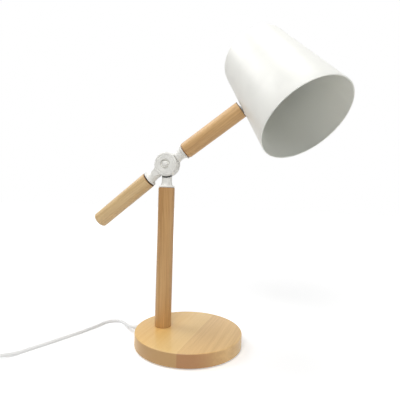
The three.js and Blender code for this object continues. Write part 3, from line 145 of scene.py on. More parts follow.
def camera():
    data = bpy.data.cameras.new("camera")
    data.sensor_width = SENSOR
    data.lens = FOCAL_PIXELS / PICTURE * SENSOR
    data.shift_x = -HALF_PIXEL
    data.shift_y = HALF_PIXEL
    data.clip_start = 0.01
    data.clip_end = 50
    level = math.cos(CAMERA_PITCH)
    ahead = Vector((math.sin(CAMERA_YAW) * level, math.cos(CAMERA_YAW) * level, math.sin(CAMERA_PITCH)))
    right = Vector((math.cos(CAMERA_YAW), -math.sin(CAMERA_YAW), 0))
    above = right.cross(ahead)
    turned_right = right * math.cos(CAMERA_ROLL) + above * math.sin(CAMERA_ROLL)
    turned_up = above * math.cos(CAMERA_ROLL) - right * math.sin(CAMERA_ROLL)
    turn = Matrix((turned_right, turned_up, -ahead)).transposed().to_4x4()
    seen = placed("camera", data)
    seen.matrix_world = Matrix.Translation(CAMERA_AT) @ turn
    bpy.context.scene.camera = seen


# Cord: from the clamp in the foot to the switch, on to the coil, round it and to the plug
CORD_RADIUS = 2.5 * MM
CORD_TO_SWITCH = [
    (-57.8, 0, 11.3), (-68, 0, 11.3), (-80, 0, 11.3), (-90, 0, 11.3), (-96.5, 1.6, 10.5),
    (-103, 7, 8.2), (-111.5, 15.2, 5.4), (-120.5, 24.2, 3.4), (-128.8, 31, 2.6), (-137.5, 34.2, 2.6),
    (-145.2, 32.8, 2.6), (-152, 28.3, 2.6), (-156.5, 21.5, 2.6), (-158.6, 13.5, 2.6), (-160.8, 1, 2.6),
    (-164.7, -12.8, 2.6), (-168.7, -26, 2.6), (-174, -41, 2.6), (-185, -70, 2.6), (-196, -98, 2.6),
    (-206, -123, 3.2), (-212.2, -138.6, 6.4), (-215.4, -146.9, 7.9), (-217.7, -152.6, 8.3),
]
CORD_TO_COIL = [
    (-229.4, -182.7, 8.3), (-241.1, -212.9, 8.3), (-247.5, -223.5, 7), (-258.5, -229.3, 5),
    (-273, -230.15, 4), (-280, -230.15, 3.7), (-287, -230.15, 3.7),
]
CORD_TO_PLUG = [
    (-332.15, -180, 9.3), (-332.15, -173, 8.2), (-332.15, -165.8, 7.15), (-332.15, -161, 7.15),
]
COIL_AT = Vector((-292, -190, 0)) * MM
COIL_RADIUS = 30 * MM
COIL_TURNS = 7.25
COIL_PITCH = 5.6 * MM
COIL_LOW = 3.7 * MM
COIL_START = math.radians(-90)
COIL_STEPS = 24


def coil_point(turn):
    """In on the lower layer, up where the spiral reverses, and out again on the upper one."""
    middle = COIL_TURNS / 2
    inward = min(turn, COIL_TURNS - turn)
    radius = COIL_RADIUS + COIL_PITCH * (middle / 2 - inward)
    climb = min(max((turn - middle) * 2 + 0.5, 0), 1)
    angle = COIL_START - 2 * math.pi * turn
    height = COIL_LOW + COIL_PITCH * (1 - math.cos(math.pi * climb)) / 2
    return COIL_AT + Vector((radius * math.cos(angle), radius * math.sin(angle), height))


def cord_points():
    count = round(COIL_TURNS * COIL_STEPS)
    coil = [coil_point(COIL_TURNS * i / count) for i in range(count + 1)]
    before = [Vector(p) * MM for p in CORD_TO_SWITCH + CORD_TO_COIL]
    return before + coil + [Vector(p) * MM for p in CORD_TO_PLUG]


def mains_cord(look):
    points = cord_points()
    data = bpy.data.curves.new("mains_cord", "CURVE")
    data.dimensions = "3D"
    data.resolution_u = 6
    data.bevel_depth = CORD_RADIUS
    data.bevel_resolution = 5
    data.use_fill_caps = True
    line = data.splines.new("BEZIER")
    line.bezier_points.add(len(points) - 1)
    for knot, point in zip(line.bezier_points, points):
        knot.co = point
        knot.handle_left_type = knot.handle_right_type = "AUTO"
    data.materials.append(look)
    cord = placed("mains_cord", data)
    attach(cord, "base")
    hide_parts("cord_run", "cord_link", "cord_coil", "cord_tail")
    return cord


# Shader maths


class Socket:
    """A socket of one node tree, used as a value in an expression."""

    def __init__(self, maker, socket):
        self.maker = maker
        self.socket = socket

    def maths(self, operation, *terms):
        return self.maker.node("ShaderNodeMath", {"operation": operation}, terms)

    def alone(self, operation):
        """What an operation makes of this value alone, such as its square root."""
        return self.maths(operation, self)

    def __add__(self, other):
        return self.maths("ADD", self, other)

    def __sub__(self, other):
        return self.maths("SUBTRACT", self, other)

    def __rsub__(self, other):
        return self.maths("SUBTRACT", other, self)

    def __mul__(self, other):
        return self.maths("MULTIPLY", self, other)

    def __rmul__(self, other):
        return self.maths("MULTIPLY", other, self)

    def __truediv__(self, other):
        return self.maths("DIVIDE", self, other)


class Nodes:
    """The node tree of a material or a world under construction."""

    def __init__(self, owner):
        owner.use_nodes = True
        self.tree = owner.node_tree
        self.tree.nodes.clear()

    def node(self, kind, settings=None, inputs=(), output=0):
        """One node. Settings come first, then its inputs by place or by name."""
        made = self.tree.nodes.new(kind)
        for name, value in (settings or {}).items():
            setattr(made, name, value)
        named = inputs.items() if isinstance(inputs, dict) else enumerate(inputs)
        for key, value in named:
            if isinstance(value, Socket):
                self.tree.links.new(value.socket, made.inputs[key])
            elif value is not None:
                made.inputs[key].default_value = value
        return Socket(self, made.outputs[output])

    def close(self, kind, surface):
        """Ends the tree in its output node."""
        output = self.tree.nodes.new(kind)
        self.tree.links.new(surface.socket, output.inputs["Surface"])

    def part(self, vector, index):
        return self.node("ShaderNodeSeparateXYZ", None, [vector], output=index)

    def step(self, value, low, high, start=0.0, end=1.0):
        """A soft step between two values as the input goes from low to high."""
        inputs = {"Value": value, "From Min": low, "From Max": high, "To Min": start, "To Max": end}
        return self.node("ShaderNodeMapRange", {"interpolation_type": "SMOOTHSTEP"}, inputs)


# Sockets of the mix node, by their place, because several share a name
MIX_FACTOR, MIX_FIRST, MIX_SECOND = 0, 6, 7
MIX_COLOUR = 2


class Finish(Nodes):
    """A material under construction: its nodes, and the few patterns that the finishes share."""

    def __init__(self, name):
        self.material = bpy.data.materials.new(name)
        super().__init__(self.material)

    def vector_maths(self, operation, *terms, output=0):
        return self.node("ShaderNodeVectorMath", {"operation": operation}, terms, output)

    def place(self, at=None):
        """Object coordinates, or the same seen from a piece's own frame."""
        point = self.node("ShaderNodeTexCoord", output="Object")
        if at is None:
            return point
        where = {"Vector": point, "Location": at.to_translation(), "Rotation": at.to_euler()}
        return self.node("ShaderNodeMapping", {"vector_type": "TEXTURE"}, where)

    def facing(self, along):
        """How squarely the surface faces along a line, either way."""
        normal = self.node("ShaderNodeTexCoord", output="Normal")
        return self.vector_maths("DOT_PRODUCT", normal, along, output="Value").alone("ABSOLUTE")

    def noise(self, vector, per_metre, detail=2.0, roughness=0.5):
        """Soft noise between 0 and 1, with its features counted per metre along each axis."""
        stretched = self.vector_maths("MULTIPLY", vector, per_metre)
        inputs = {"Vector": stretched, "Scale": 1.0, "Detail": detail, "Roughness": roughness}
        return self.node("ShaderNodeTexNoise", None, inputs)

    def mix(self, factor, first, second):
        """Two colours mixed."""
        inputs = {MIX_FACTOR: factor, MIX_FIRST: first, MIX_SECOND: second}
        return self.node("ShaderNodeMix", {"data_type": "RGBA"}, inputs, MIX_COLOUR)

    def bump(self, height, depth, strength):
        inputs = {"Height": height, "Distance": depth, "Strength": strength}
        return self.node("ShaderNodeBump", None, inputs)

    def done(self, inputs):
        """Closes the material with its surface shader."""
        self.close("ShaderNodeOutputMaterial", self.node("ShaderNodeBsdfPrincipled", None, inputs))
        return self.material


def distance(across, away):
    """How far a point lies from the line on which both of its parts are 0."""
    return (across * across + away * away).alone("SQRT")


def tone(red, green, blue):
    """A colour read off a screen, 0 to 255, as the light that it stands for."""

    def light(value):
        share = value / 255
        return share / 12.92 if share <= 0.04045 else ((share + 0.055) / 1.055) ** 2.4

    return (light(red), light(green), light(blue), 1)


def darker(colour, share):
    return tuple(part * share for part in colour[:3]) + (1,)


# Wood: each piece of beech has its own pair of colours, light and dark, and its own place in the tree

UPRIGHT_BEECH = (tone(216, 173, 116), tone(177, 132, 78))
TAIL_BEECH = (tone(229, 198, 147), tone(194, 161, 112))
ARM_BEECH = (tone(222, 181, 125), tone(185, 142, 89))
LEFT_BOARD = (tone(238, 196, 122), tone(231, 184, 106))
LEFT_BOARD_INNER = (tone(239, 203, 140), tone(231, 193, 126))
RIGHT_BOARD_INNER = (tone(233, 193, 130), tone(213, 170, 111))
RIGHT_BOARD = (tone(241, 201, 136), tone(223, 180, 117))
LEFT_END = tone(187, 145, 90)
RIGHT_END = tone(175, 122, 74)
ROD_END = tone(178, 130, 84)
# Dark brown, painted as the shadow in the gap at the arm rod's end
END_GAP_SHADE = tone(84, 62, 42)
BEECH_RAY = tone(170, 124, 80)

# Features of the grain per metre: across it twice, then along it
DRIFT = (24, 24, 3.5)
STREAKS = (210, 210, 6)
FIBRES = (1500, 1500, 45)
RAYS = (2300, 2300, 330)
RING_WANDER = 0.03
EARLY_WOOD, LATE_WOOD = 0.4, 0.9  # shares of a ring, from where it darkens and where it is darkest
RAY_SPAN = (0.66, 0.76)
# How much each pattern darkens the wood, and the span of their sum from its light to its dark colour
STREAK_SHARE, LATE_SHARE, FIBRE_SHARE, DRIFT_SHARE = 0.57, 0.06, 0.12, 0.43
FIGURE_SPAN = (0.37, 0.85)


def beech_figure(finish, point, heart, ring_width):
    """Streaks, growth rings, fibres and rays of wood whose grain runs along +Z of the frame given."""
    drift = finish.noise(point, DRIFT)
    streaks = finish.noise(point, STREAKS, 3, 0.6)
    fibres = finish.noise(point, FIBRES)
    rays = finish.step(finish.noise(point, RAYS, 0), *RAY_SPAN)
    reach = distance(finish.part(point, 0) - heart[0], finish.part(point, 1) - heart[1])
    ring = ((reach + drift * RING_WANDER) / ring_width).alone("FRACT")
    late = finish.step(ring, EARLY_WOOD, LATE_WOOD) - finish.step(ring, LATE_WOOD, 1)
    dark = streaks * STREAK_SHARE + late * LATE_SHARE + fibres * FIBRE_SHARE + drift * DRIFT_SHARE
    return finish.step(dark, *FIGURE_SPAN), rays, fibres


def beech_surface(finish, colour, rays, fibres, lacquer):
    """Lacquered wood, whose fibres stand a little above its rays."""
    return finish.done({
        "Base Color": colour,
        "Roughness": fibres * 0.16 + 0.4,
        "Coat Weight": lacquer[0],
        "Coat Roughness": lacquer[1],
        "Normal": finish.bump(fibres * 0.5 - rays, 0.04 * MM, 0.4),
    })


def end_grain(finish, colour, along, ends, end):
    """Darkens the faces and rounded edges that cut across the grain."""
    return finish.mix(finish.step(finish.facing(along), *ends) * 0.9, colour, end)


ROD_RING = 3.4 * MM
ROD_RAYS = 0.18
ROD_ENDS = (0.15, 0.7)  # how squarely a surface cuts the grain where it darkens and where it is darkest
ROD_LACQUER = (0.12, 0.3)  # weight, roughness
TOP_SHADE = 0.45  # how much darker the upright is at its upper end, as painted shade
TOP_SHADE_REACH = 240 * MM
GAP_SHADE_EDGE = 0.3 * MM


def beech_rod(name, at, colours, heart, top_shaded_until=None, shade_band_from=None):
    """A turned rod, its grain along it. It may carry painted shade that darkens it toward one end, and
    a thin dark band of painted shadow at the other end.
    """
    finish = Finish(name)
    point = finish.place(at)
    figure, rays, fibres = beech_figure(finish, point, heart, ROD_RING)
    # Painted shade, darkening the rod toward its upper end
    if top_shaded_until:
        figure = figure + TOP_SHADE * (1 - finish.step(finish.part(point, 2), 0, top_shaded_until))
    colour = finish.mix(figure, *colours)
    colour = finish.mix(rays * ROD_RAYS, colour, BEECH_RAY)
    colour = end_grain(finish, colour, at.to_3x3() @ Vector((0, 0, 1)), ROD_ENDS, ROD_END)
    # A thin band of painted shadow where the rod's end meets the shade's wall
    if shade_band_from:
        band_shade = finish.step(finish.part(point, 2), shade_band_from, shade_band_from + GAP_SHADE_EDGE)
        colour = finish.mix(band_shade, colour, END_GAP_SHADE)
    return beech_surface(finish, colour, rays, fibres, ROD_LACQUER)


GLUE_LINE = (Vector((12.2, -73, 0)) * MM, Vector((19, 81.9, 0)) * MM)
GLUE_HALF = 0.15 * MM
GLUE_SHARE = 0.25
BOARD_HEARTS = (((0.11, -0.05), 5 * MM), ((-0.09, 0.03), 4 * MM))  # each board's heart and ring width
LEFT_FADE = (12 * MM, 60 * MM)  # where each board's colours change, from the glue line
RIGHT_FADE = (-35 * MM, -6 * MM)
BOARD_RAYS = 0.2
BOARD_ENDS = (0.4, 0.95)
BOARD_LACQUER = (0.35, 0.15)


def beech_boards(name):
    """The foot, glued from two boards whose grain runs along the glue line."""
    finish = Finish(name)
    along = (GLUE_LINE[1] - GLUE_LINE[0]).normalized()
    point = finish.place(axes(GLUE_LINE[0], Vector((0, 0, 1)), along))
    side = finish.part(point, 0)
    figures = [beech_figure(finish, point, heart, width) for heart, width in BOARD_HEARTS]

    def blended(figure, fade, first, second):
        share = finish.step(side, *fade)
        return finish.mix(share, finish.mix(figure, *first), finish.mix(figure, *second))

    left = blended(figures[0][0], LEFT_FADE, LEFT_BOARD_INNER, LEFT_BOARD)
    right = blended(figures[1][0], RIGHT_FADE, RIGHT_BOARD, RIGHT_BOARD_INNER)
    board = finish.step(side, -GLUE_HALF, GLUE_HALF)
    colour = finish.mix(board, right, left)
    seam = 1 - finish.step(side.alone("ABSOLUTE"), 0, 2 * GLUE_HALF)
    colour = finish.mix(seam * GLUE_SHARE, colour, BEECH_RAY)
    rays, fibres = figures[0][1:]
    colour = finish.mix(rays * BOARD_RAYS, colour, BEECH_RAY)
    colour = end_grain(finish, colour, along, BOARD_ENDS, finish.mix(board, RIGHT_END, LEFT_END))
    return beech_surface(finish, colour, rays, fibres, BOARD_LACQUER)


# Powder coat

WHITE_COAT = tone(247, 247, 241)
# A little darker than the outer coat, as painted shade inside the lampshade
INNER_SHADED_COAT = tone(238, 239, 232)
# The same white enamel, made darker than the lampshade's coat as painted shade on the hinge castings
CASTING_SHADED_COAT = tone(242, 241, 235)
# Near black, painted where a narrow gap between hinge parts lies in shadow
PAINTED_GAP_SHADE = tone(38, 37, 36)


def enamel(name, colour, place=None, other=None):
    """A faint orange peel, and another colour, painted shade, at one place of the piece."""
    finish = Finish(name)
    point = finish.place()
    peel = finish.noise(point, (900, 900, 900))
    cloud = finish.noise(point, (30, 30, 30))
    coat = finish.mix(finish.step(cloud, 0.35, 0.75), colour, darker(colour, 0.955))
    if place:
        coat = finish.mix(place(finish), coat, other)
    return finish.done({
        "Base Color": coat,
        "Roughness": peel * 0.12 + 0.32,
        "Normal": finish.bump(peel, 0.003 * MM, 0.1),
    })


def shoulder_gap_shade(finish):
    """The cut in the upright's neck that the outer discs turn in, painted dark as the shadow in its
    gap.
    """
    point = finish.place(POST_AXES)
    away = finish.part(point, 2)
    reach = distance(finish.part(point, 0), away)
    inside = 1 - finish.step(reach, DISC_RADIUS + 1.9 * MM, DISC_RADIUS + 2.3 * MM)
    outside = finish.step(reach, DISC_RADIUS, DISC_RADIUS + 0.2 * MM)
    return inside * outside * finish.step(away, 0, 4 * MM)


def seat_gap_shade(finish):
    """The face of the tail's flange that the rod is drawn up against, painted dark as the shadow in the
    gap between them.
    """
    height = finish.part(finish.place(TAIL_AXES), 2)
    return finish.step(height, TAIL_REACH - 1.5 * MM, TAIL_REACH - 1.3 * MM)


def inner_wall_shade(finish):
    """The inside of the shade, past the round corner at its back, painted a little darker as shade."""
    point = finish.place(SHADE_AXES)
    across, away, height = (finish.part(point, i) for i in range(3))
    reach = distance(across, away) - height * TAPER
    wall = shade_radius(0) - SHADE_WALL / 2
    inside = 1 - finish.step(reach, wall - CLEAR, wall)
    corner = SHADE_BACK + SHADE_CORNER
    return inside * finish.step(height, corner, corner + 12 * MM)


# Metal, plastic and glass


def plain_metal(name, colour, roughness, worn):
    """Plated or cast metal: fine scratches over soft blotches."""
    finish = Finish(name)
    point = finish.place()
    scratches = finish.noise(point, (400, 2600, 2600))
    blotches = finish.noise(point, (220, 220, 220), 3)
    return finish.done({
        "Base Color": finish.mix(blotches, colour, darker(colour, 1 - worn)),
        "Metallic": 1.0,
        "Roughness": scratches * 0.2 + blotches * worn + roughness,
        "Normal": finish.bump(scratches, 0.02 * MM, 0.4),
    })


def moulded(name, colour, roughness, grain=1600, depth=0.03 * MM):
    """Moulded plastic, rubber or foam: a fine even grain."""
    finish = Finish(name)
    point = finish.place()
    texture = finish.noise(point, (grain, grain, grain))
    cloud = finish.noise(point, (45, 45, 45))
    return finish.done({
        "Base Color": finish.mix(cloud, colour, darker(colour, 0.93)),
        "Roughness": texture * 0.15 + roughness,
        "Normal": finish.bump(texture, depth, 0.5),
    })


def opal_glass(name):
    finish = Finish(name)
    cloud = finish.noise(finish.place(), (60, 60, 60))
    white, cream = tone(247, 246, 242), tone(240, 238, 231)
    return finish.done({
        "Base Color": finish.mix(cloud, white, cream),
        "Roughness": cloud * 0.06 + 0.12,
        "Subsurface Weight": 0.25,
        "Subsurface Radius": (0.01, 0.01, 0.01),
        "Subsurface Scale": 0.2,
    })


# Mesh making


def arc(x, y, radius, start, end, steps):
    """Points of an arc in a profile, in degrees, both ends included."""
    angles = [math.radians(start + (end - start) * i / steps) for i in range(steps + 1)]
    return [(x + radius * math.cos(a), y + radius * math.sin(a)) for a in angles]


SPIN_TURNS = {
    "X": Matrix.Rotation(math.pi / 2, 4, "Y"),
    "Y": Matrix.Rotation(-math.pi / 2, 4, "X"),
    "Z": Matrix.Identity(4),
}


def lathe(profile, sides, at=Matrix.Identity(4), about="Z"):
    """A profile of (radius, height) points spun about an axis of the frame given."""
    made = bmesh.new()
    closed = profile[0][0] > 0
    row = [made.verts.new((r, 0, h)) for r, h in profile]
    pairs = list(zip(row, row[1:])) + ([(row[-1], row[0])] if closed else [])
    edges = [made.edges.new(pair) for pair in pairs]
    bmesh.ops.spin(
        made, geom=row + edges, axis=(0, 0, 1), cent=(0, 0, 0), steps=sides, angle=2 * math.pi,
        use_merge=True,
    )
    bmesh.ops.remove_doubles(made, verts=made.verts, dist=SPUN_WELD)
    bmesh.ops.recalc_face_normals(made, faces=made.faces)
    return moved(made, at @ SPIN_TURNS[about])


def bar(radius, low, high, bore=0.0):
    return [(bore, low), (radius, low), (radius, high), (bore, high)]


def soft_bar(radius, low, high, low_round, high_round, bore=0.0, steps=6):
    return [
        (bore, low),
        *arc(radius - low_round, low + low_round, low_round, -90, 0, steps),
        *arc(radius - high_round, high - high_round, high_round, 0, 90, steps),
        (bore, high),
    ]


def box(low, high, at=Matrix.Identity(4)):
    made = bmesh.new()
    low, high = Vector(low), Vector(high)
    size = high - low
    place = Matrix.Translation((low + high) / 2) @ Matrix.Diagonal((*size, 1))
    bmesh.ops.create_cube(made, size=1, matrix=at @ place)
    return made


def moved(made, at):
    bmesh.ops.transform(made, matrix=at, verts=made.verts)
    return made


def combined(first, other, operation):
    """One boolean step of two shapes, with the seams that it leaves merged."""
    body, tool = [placed("shape", meshed("shape", made)) for made in (first, other)]
    step = body.modifiers.new(operation, "BOOLEAN")
    step.operation = operation
    step.solver = "EXACT"
    step.object = tool
    seen = body.evaluated_get(bpy.context.evaluated_depsgraph_get())
    made = bmesh.new()
    made.from_mesh(seen.to_mesh())
    bmesh.ops.remove_doubles(made, verts=made.verts, dist=WELD)
    bpy.data.objects.remove(body)
    bpy.data.objects.remove(tool)
    return made


def shaped(first, cuts=(), joins=()):
    """A shape joined with some and then cut by others."""
    for other in joins:
        first = combined(first, other, "UNION")
    for other in cuts:
        first = combined(first, other, "DIFFERENCE")
    return first


SHARP = math.radians(32)


def piece(name, made, look, body, replaces, soft_edges=0.0):
    """A finished piece of the lamp, which stands for one or more CAD nodes."""
    new = placed(name, meshed(name, made))
    new.data.materials.append(look)
    if soft_edges:
        bevel = new.modifiers.new("soft edges", "BEVEL")
        bevel.width = soft_edges
        bevel.segments = 3
        bevel.limit_method = "ANGLE"
        bevel.angle_limit = SHARP
        seen = new.evaluated_get(bpy.context.evaluated_depsgraph_get())
        new.data = bpy.data.meshes.new_from_object(seen)
        new.modifiers.clear()
    new.data.shade_smooth()
    new.data.set_sharp_from_angle(angle=SHARP)
    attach(new, body)
    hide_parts(*replaces)


def copied(node):
    """A CAD node's mesh with its loose triangles merged, as the start of a finer piece."""
    made = bmesh.new()
    made.from_mesh(frame["nodes"][node].data)
    bmesh.ops.remove_doubles(made, verts=made.verts, dist=WELD)
    bmesh.ops.dissolve_limit(made, angle_limit=math.radians(1), verts=made.verts, edges=made.edges)
    return made


# Sizes of the turned and cast pieces, as the frame has them


def span(node, at):
    """How far a CAD node reaches along +Z of a frame, from and to."""
    back = at.inverted()
    heights = [(back @ vert.co).z for vert in frame["nodes"][node].data.vertices]
    return min(heights), max(heights)


# Sides of the turned shapes, from the foot's rim down to the screw holes
RIM_SIDES = 256
SHADE_SIDES = 192
DISC_SIDES = 128
FINE = 96
MEDIUM = 64
SMALL = 48
BORE_SIDES = 32
HOLE_SIDES = 24

ROD_RADIUS = (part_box("post_rod")[1].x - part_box("post_rod")[0].x) / 2
ROD_SOFT = 0.7 * MM
ARM_SOFT = 3.4 * MM
TAIL_TOP_SOFT = 1.2 * MM
TUBE_HOLE = 5.3 * MM
POST_REACH = 35.9 * MM
ARM_REACH = 34.9 * MM
TAIL_REACH = 38 * MM
TAIL_LOW, TAIL_END = span("tail_rod", TAIL_AXES)
TAIL_SOFT = 1.8 * MM
STUD_HOLE = 4.3 * MM
STUD_DEPTH = 30.3 * MM
ARM_END = span("arm_rod", ARM_AXES)[1]
COLLAR_HOLE = 7.3 * MM
COLLAR_DEPTH = 4 * MM

DISC_RADIUS = 18.3 * MM
DISC_NEAR = 4.1 * MM
DISC_FAR = 9.6 * MM
RIM_SOFT = 2.4 * MM
EDGE_SOFT = 0.7 * MM
TONGUE_HALF = 3 * MM
FACE_GROOVE = (14.2 * MM, 0.8 * MM, 0.5 * MM)  # radius, half width, depth
RECESS = (7.9 * MM, 2.8 * MM)  # radius, depth
REAR_RECESS = (7.2 * MM, 2.5 * MM)
BOLT_RADIUS = 3 * MM
BOLT_SQUARE = 3.1 * MM  # half the width of the square under its head
SHOULDER = DISC_RADIUS + 3 * MM  # where the upright's neck is cut back for the outer discs
TURNING_ROOM = DISC_RADIUS + 1 * MM
NECK_RADIUS = 7.8 * MM
FLANGE_RADIUS = 12.1 * MM
FLANGE_RIM = 2.2 * MM
FLARE = 8 * MM
WIRE_BORE = 3.1 * MM
WIRE_RING = (8.2 * MM, 13.2 * MM, 2.4 * MM)  # inner and outer radius, depth
SOCKET_DEPTH = 9.4 * MM
STUD_SEAT = 9.6 * MM
BALLAST_PILOT = 2.3 * MM
CLAMP_PILOT = 1.55 * MM


def pilot_holes(node, radius, under):
    """The holes of a pair of screws that come up from below."""
    holes = []
    for screw in (f"{node}_1", f"{node}_2"):
        low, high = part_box(screw)
        way = Matrix.Translation(((low.x + high.x) / 2, (low.y + high.y) / 2, 0))
        holes.append(lathe(bar(radius, under, high.z + CLEAR), HOLE_SIDES, way))
    return holes


def foot(look):
    low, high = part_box("base_disc")
    ballast_low, ballast_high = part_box("base_ballast")
    ballast_way = Matrix.Translation(((ballast_low.x + ballast_high.x) / 2, 0, 0))
    relief_low, relief_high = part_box("cord_relief")
    relief_way = Matrix.Translation((0, 0, (relief_low.z + relief_high.z) / 2))
    radius = (high.x - low.x) / 2
    lower_round, upper_round = 0.8 * MM, 1.6 * MM
    ballast_radius = (ballast_high.x - ballast_low.x) / 2 + CLEAR
    pocket_radius, pocket_length, cord_hole_radius = 12 * MM, 14 * MM, 4.8 * MM
    under = low.z - PAST
    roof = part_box("post_washer")[1].z + CLEAR
    ends = [HINGE.x, HINGE.x - pocket_length]
    disc_shape = lathe(soft_bar(radius, low.z, high.z, lower_round, upper_round), RIM_SIDES)
    made = shaped(disc_shape, [
        lathe(bar(ballast_radius, under, ballast_high.z + CLEAR), FINE, ballast_way),
        *[lathe(bar(pocket_radius, under, roof), MEDIUM, Matrix.Translation((x, 0, 0))) for x in ends],
        box((ends[1], -pocket_radius, under), (ends[0], pocket_radius, roof)),
        lathe(bar(cord_hole_radius, -radius - PAST, ends[1]), SMALL, relief_way, "X"),
        lathe(bar(TUBE_HOLE, under, high.z + PAST), SMALL, UPRIGHT_AXES),
        *pilot_holes("ballast_screw", BALLAST_PILOT, under),
        *pilot_holes("clamp_screw", CLAMP_PILOT, under),
    ])
    piece("wooden_foot", made, look, "base", ["base_disc"])


def foot_pad(look):
    low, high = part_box("base_pad")
    edge = 0.3 * MM
    made = lathe(soft_bar((high.x - low.x) / 2, low.z, high.z, edge, edge), DISC_SIDES)
    piece("foam_pad", made, look, "base", ["base_pad"])


def cord_sleeve(look):
    """The grooved sleeve that keeps the cord from kinking at the foot's wall."""
    low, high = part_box("cord_relief")
    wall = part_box("base_disc")[0].x - CLEAR
    bore, barrel, flange, flange_height = 2.9 * MM, 4.5 * MM, 6.5 * MM, 1.5 * MM
    root, tip = 4.3 * MM, 3.4 * MM
    flange_edge, tip_edge, depth = 0.5 * MM, 0.4 * MM, 0.3 * MM
    outer = wall - flange_height
    half_width = 0.05  # of a groove, as a share of the taper's length

    def on_taper(share, inward=0.0):
        return (root + (tip - root) * share - inward, outer - (outer - low.x) * share)

    grooves = []
    for share in (0.22, 0.42, 0.62, 0.82):
        grooves += [on_taper(share - half_width), on_taper(share, depth), on_taper(share + half_width)]
    profile = [
        (bore, high.x),
        (barrel, high.x),
        (barrel, wall),
        *arc(flange - flange_edge, wall - flange_edge, flange_edge, 90, 0, 4),
        *arc(flange - flange_edge, outer + flange_edge, flange_edge, 0, -90, 4),
        (root + depth, outer),
        (root, outer - depth),
        *grooves,
        *arc(tip - tip_edge, low.x + tip_edge, tip_edge, 0, -90, 3),
        (bore, low.x),
    ]
    made = lathe(profile, MEDIUM, Matrix.Translation((0, 0, (low.z + high.z) / 2)), "X")
    piece("cord_sleeve", made, look, "base", ["cord_relief"])


def upright(look):
    low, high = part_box("post_rod")
    profile = soft_bar(ROD_RADIUS, low.z, high.z, ROD_SOFT, ROD_SOFT, TUBE_HOLE)
    made = lathe(profile, FINE, UPRIGHT_AXES)
    piece("upright_rod", made, look, "base", ["post_rod"])


def tail_wood(look):
    profile = [
        (0, TAIL_LOW + STUD_DEPTH),
        (STUD_HOLE, TAIL_LOW + STUD_DEPTH),
        *soft_bar(ROD_RADIUS, TAIL_LOW, TAIL_END, TAIL_TOP_SOFT, TAIL_SOFT, STUD_HOLE)[:-1],
        (0, TAIL_END),
    ]
    made = lathe(profile, FINE, TAIL_AXES)
    piece("tail_wood", made, look, "tail", ["tail_rod"])


def arm_wood(look):
    profile = [
        *soft_bar(ROD_RADIUS, ARM_REACH, ARM_END, ARM_SOFT, ROD_SOFT, TUBE_HOLE)[:-1],
        (COLLAR_HOLE, ARM_END),
        (COLLAR_HOLE, ARM_END - COLLAR_DEPTH),
        (TUBE_HOLE, ARM_END - COLLAR_DEPTH),
    ]
    made = lathe(profile, FINE, ARM_AXES)
    piece("arm_wood", made, look, "arm", ["arm_rod"])


# Hinge castings, each drawn with the hinge on +Y and its rod along +Z, then put in place

FRONT = Matrix.Rotation(math.pi, 4, "Z")
REAR = Matrix.Identity(4)


def stem(reach):
    """The round neck that flares out to the flange under a rod."""
    face = reach - CLEAR
    rim_low = face - FLANGE_RIM
    edge = FLANGE_RADIUS - EDGE_SOFT
    steps = 12
    flare = []
    for i in range(steps):
        share = i / steps
        swell = 1 - math.sqrt(1 - share * share)
        flare.append((NECK_RADIUS + (edge - NECK_RADIUS) * swell, rim_low - FLARE * (1 - share)))
    profile = [
        (0, DISC_RADIUS / 2),
        (NECK_RADIUS, DISC_RADIUS / 2),
        *flare,
        *arc(edge, rim_low + EDGE_SOFT, EDGE_SOFT, -90, 0, 4),
        *arc(edge, face - EDGE_SOFT, EDGE_SOFT, 0, 90, 4),
        (0, face),
    ]
    return lathe(profile, FINE)


def disc(side, recess, bore):
    """An outer disc in front of or behind the tongue, its recess away from it."""
    radius, depth = recess
    groove, half, groove_depth = FACE_GROOVE
    lip = 0.6 * MM
    profile = [
        (bore, DISC_NEAR),
        *arc(DISC_RADIUS - EDGE_SOFT, DISC_NEAR + EDGE_SOFT, EDGE_SOFT, -90, 0, 4),
        *arc(DISC_RADIUS - RIM_SOFT, DISC_FAR - RIM_SOFT, RIM_SOFT, 0, 90, 10),
        (groove + half, DISC_FAR),
        *[
            (groove + half * math.cos(angle), DISC_FAR - groove_depth * math.sin(angle))
            for angle in (math.pi * i / 8 for i in range(1, 8))
        ],
        (groove - half, DISC_FAR),
        *arc(radius + lip, DISC_FAR - lip, lip, 90, 180, 4),
        *arc(radius - lip, DISC_FAR - depth + lip, lip, 0, -90, 4),
        (bore, DISC_FAR - depth),
    ]
    return lathe(profile, DISC_SIDES, side, "Y")


def web(side):
    """Fills the corner between a disc and its neck, with its flanks drawn in toward the neck."""
    inner, outer = DISC_RADIUS / 2, DISC_RADIUS + FLARE
    low, high = DISC_NEAR + EDGE_SOFT, DISC_FAR - 2 * EDGE_SOFT
    made = bmesh.new()
    steps = 10
    outline = []
    for i in range(steps + 1):
        share = i / steps
        half = (NECK_RADIUS - CLEAR) * math.cos(math.pi / 3 * share)
        outline.append((half, inner + (outer - inner) * share))
    outline += [(-x, z) for x, z in reversed(outline)]
    face = made.faces.new([made.verts.new((x, low, z)) for x, z in outline])
    grown = bmesh.ops.extrude_face_region(made, geom=[face])["geom"]
    raised = [item for item in grown if isinstance(item, bmesh.types.BMVert)]
    bmesh.ops.translate(made, verts=raised, vec=(0, high - low, 0))
    bmesh.ops.recalc_face_normals(made, faces=made.faces)
    return moved(made, side)


def spinning_room(radius, low, high, inner=0.0):
    """What a turning piece sweeps about the hinge."""
    return lathe(bar(radius, low, high, inner), FINE, about="Y")


def socket(reach, inner):
    """The tube's seat in a casting, and the wires' way out of it."""
    tube_seat = bar(TUBE_HOLE, reach - SOCKET_DEPTH - CLEAR, reach + PAST)
    return [lathe(tube_seat, SMALL), lathe(bar(WIRE_BORE, inner, reach), BORE_SIDES)]


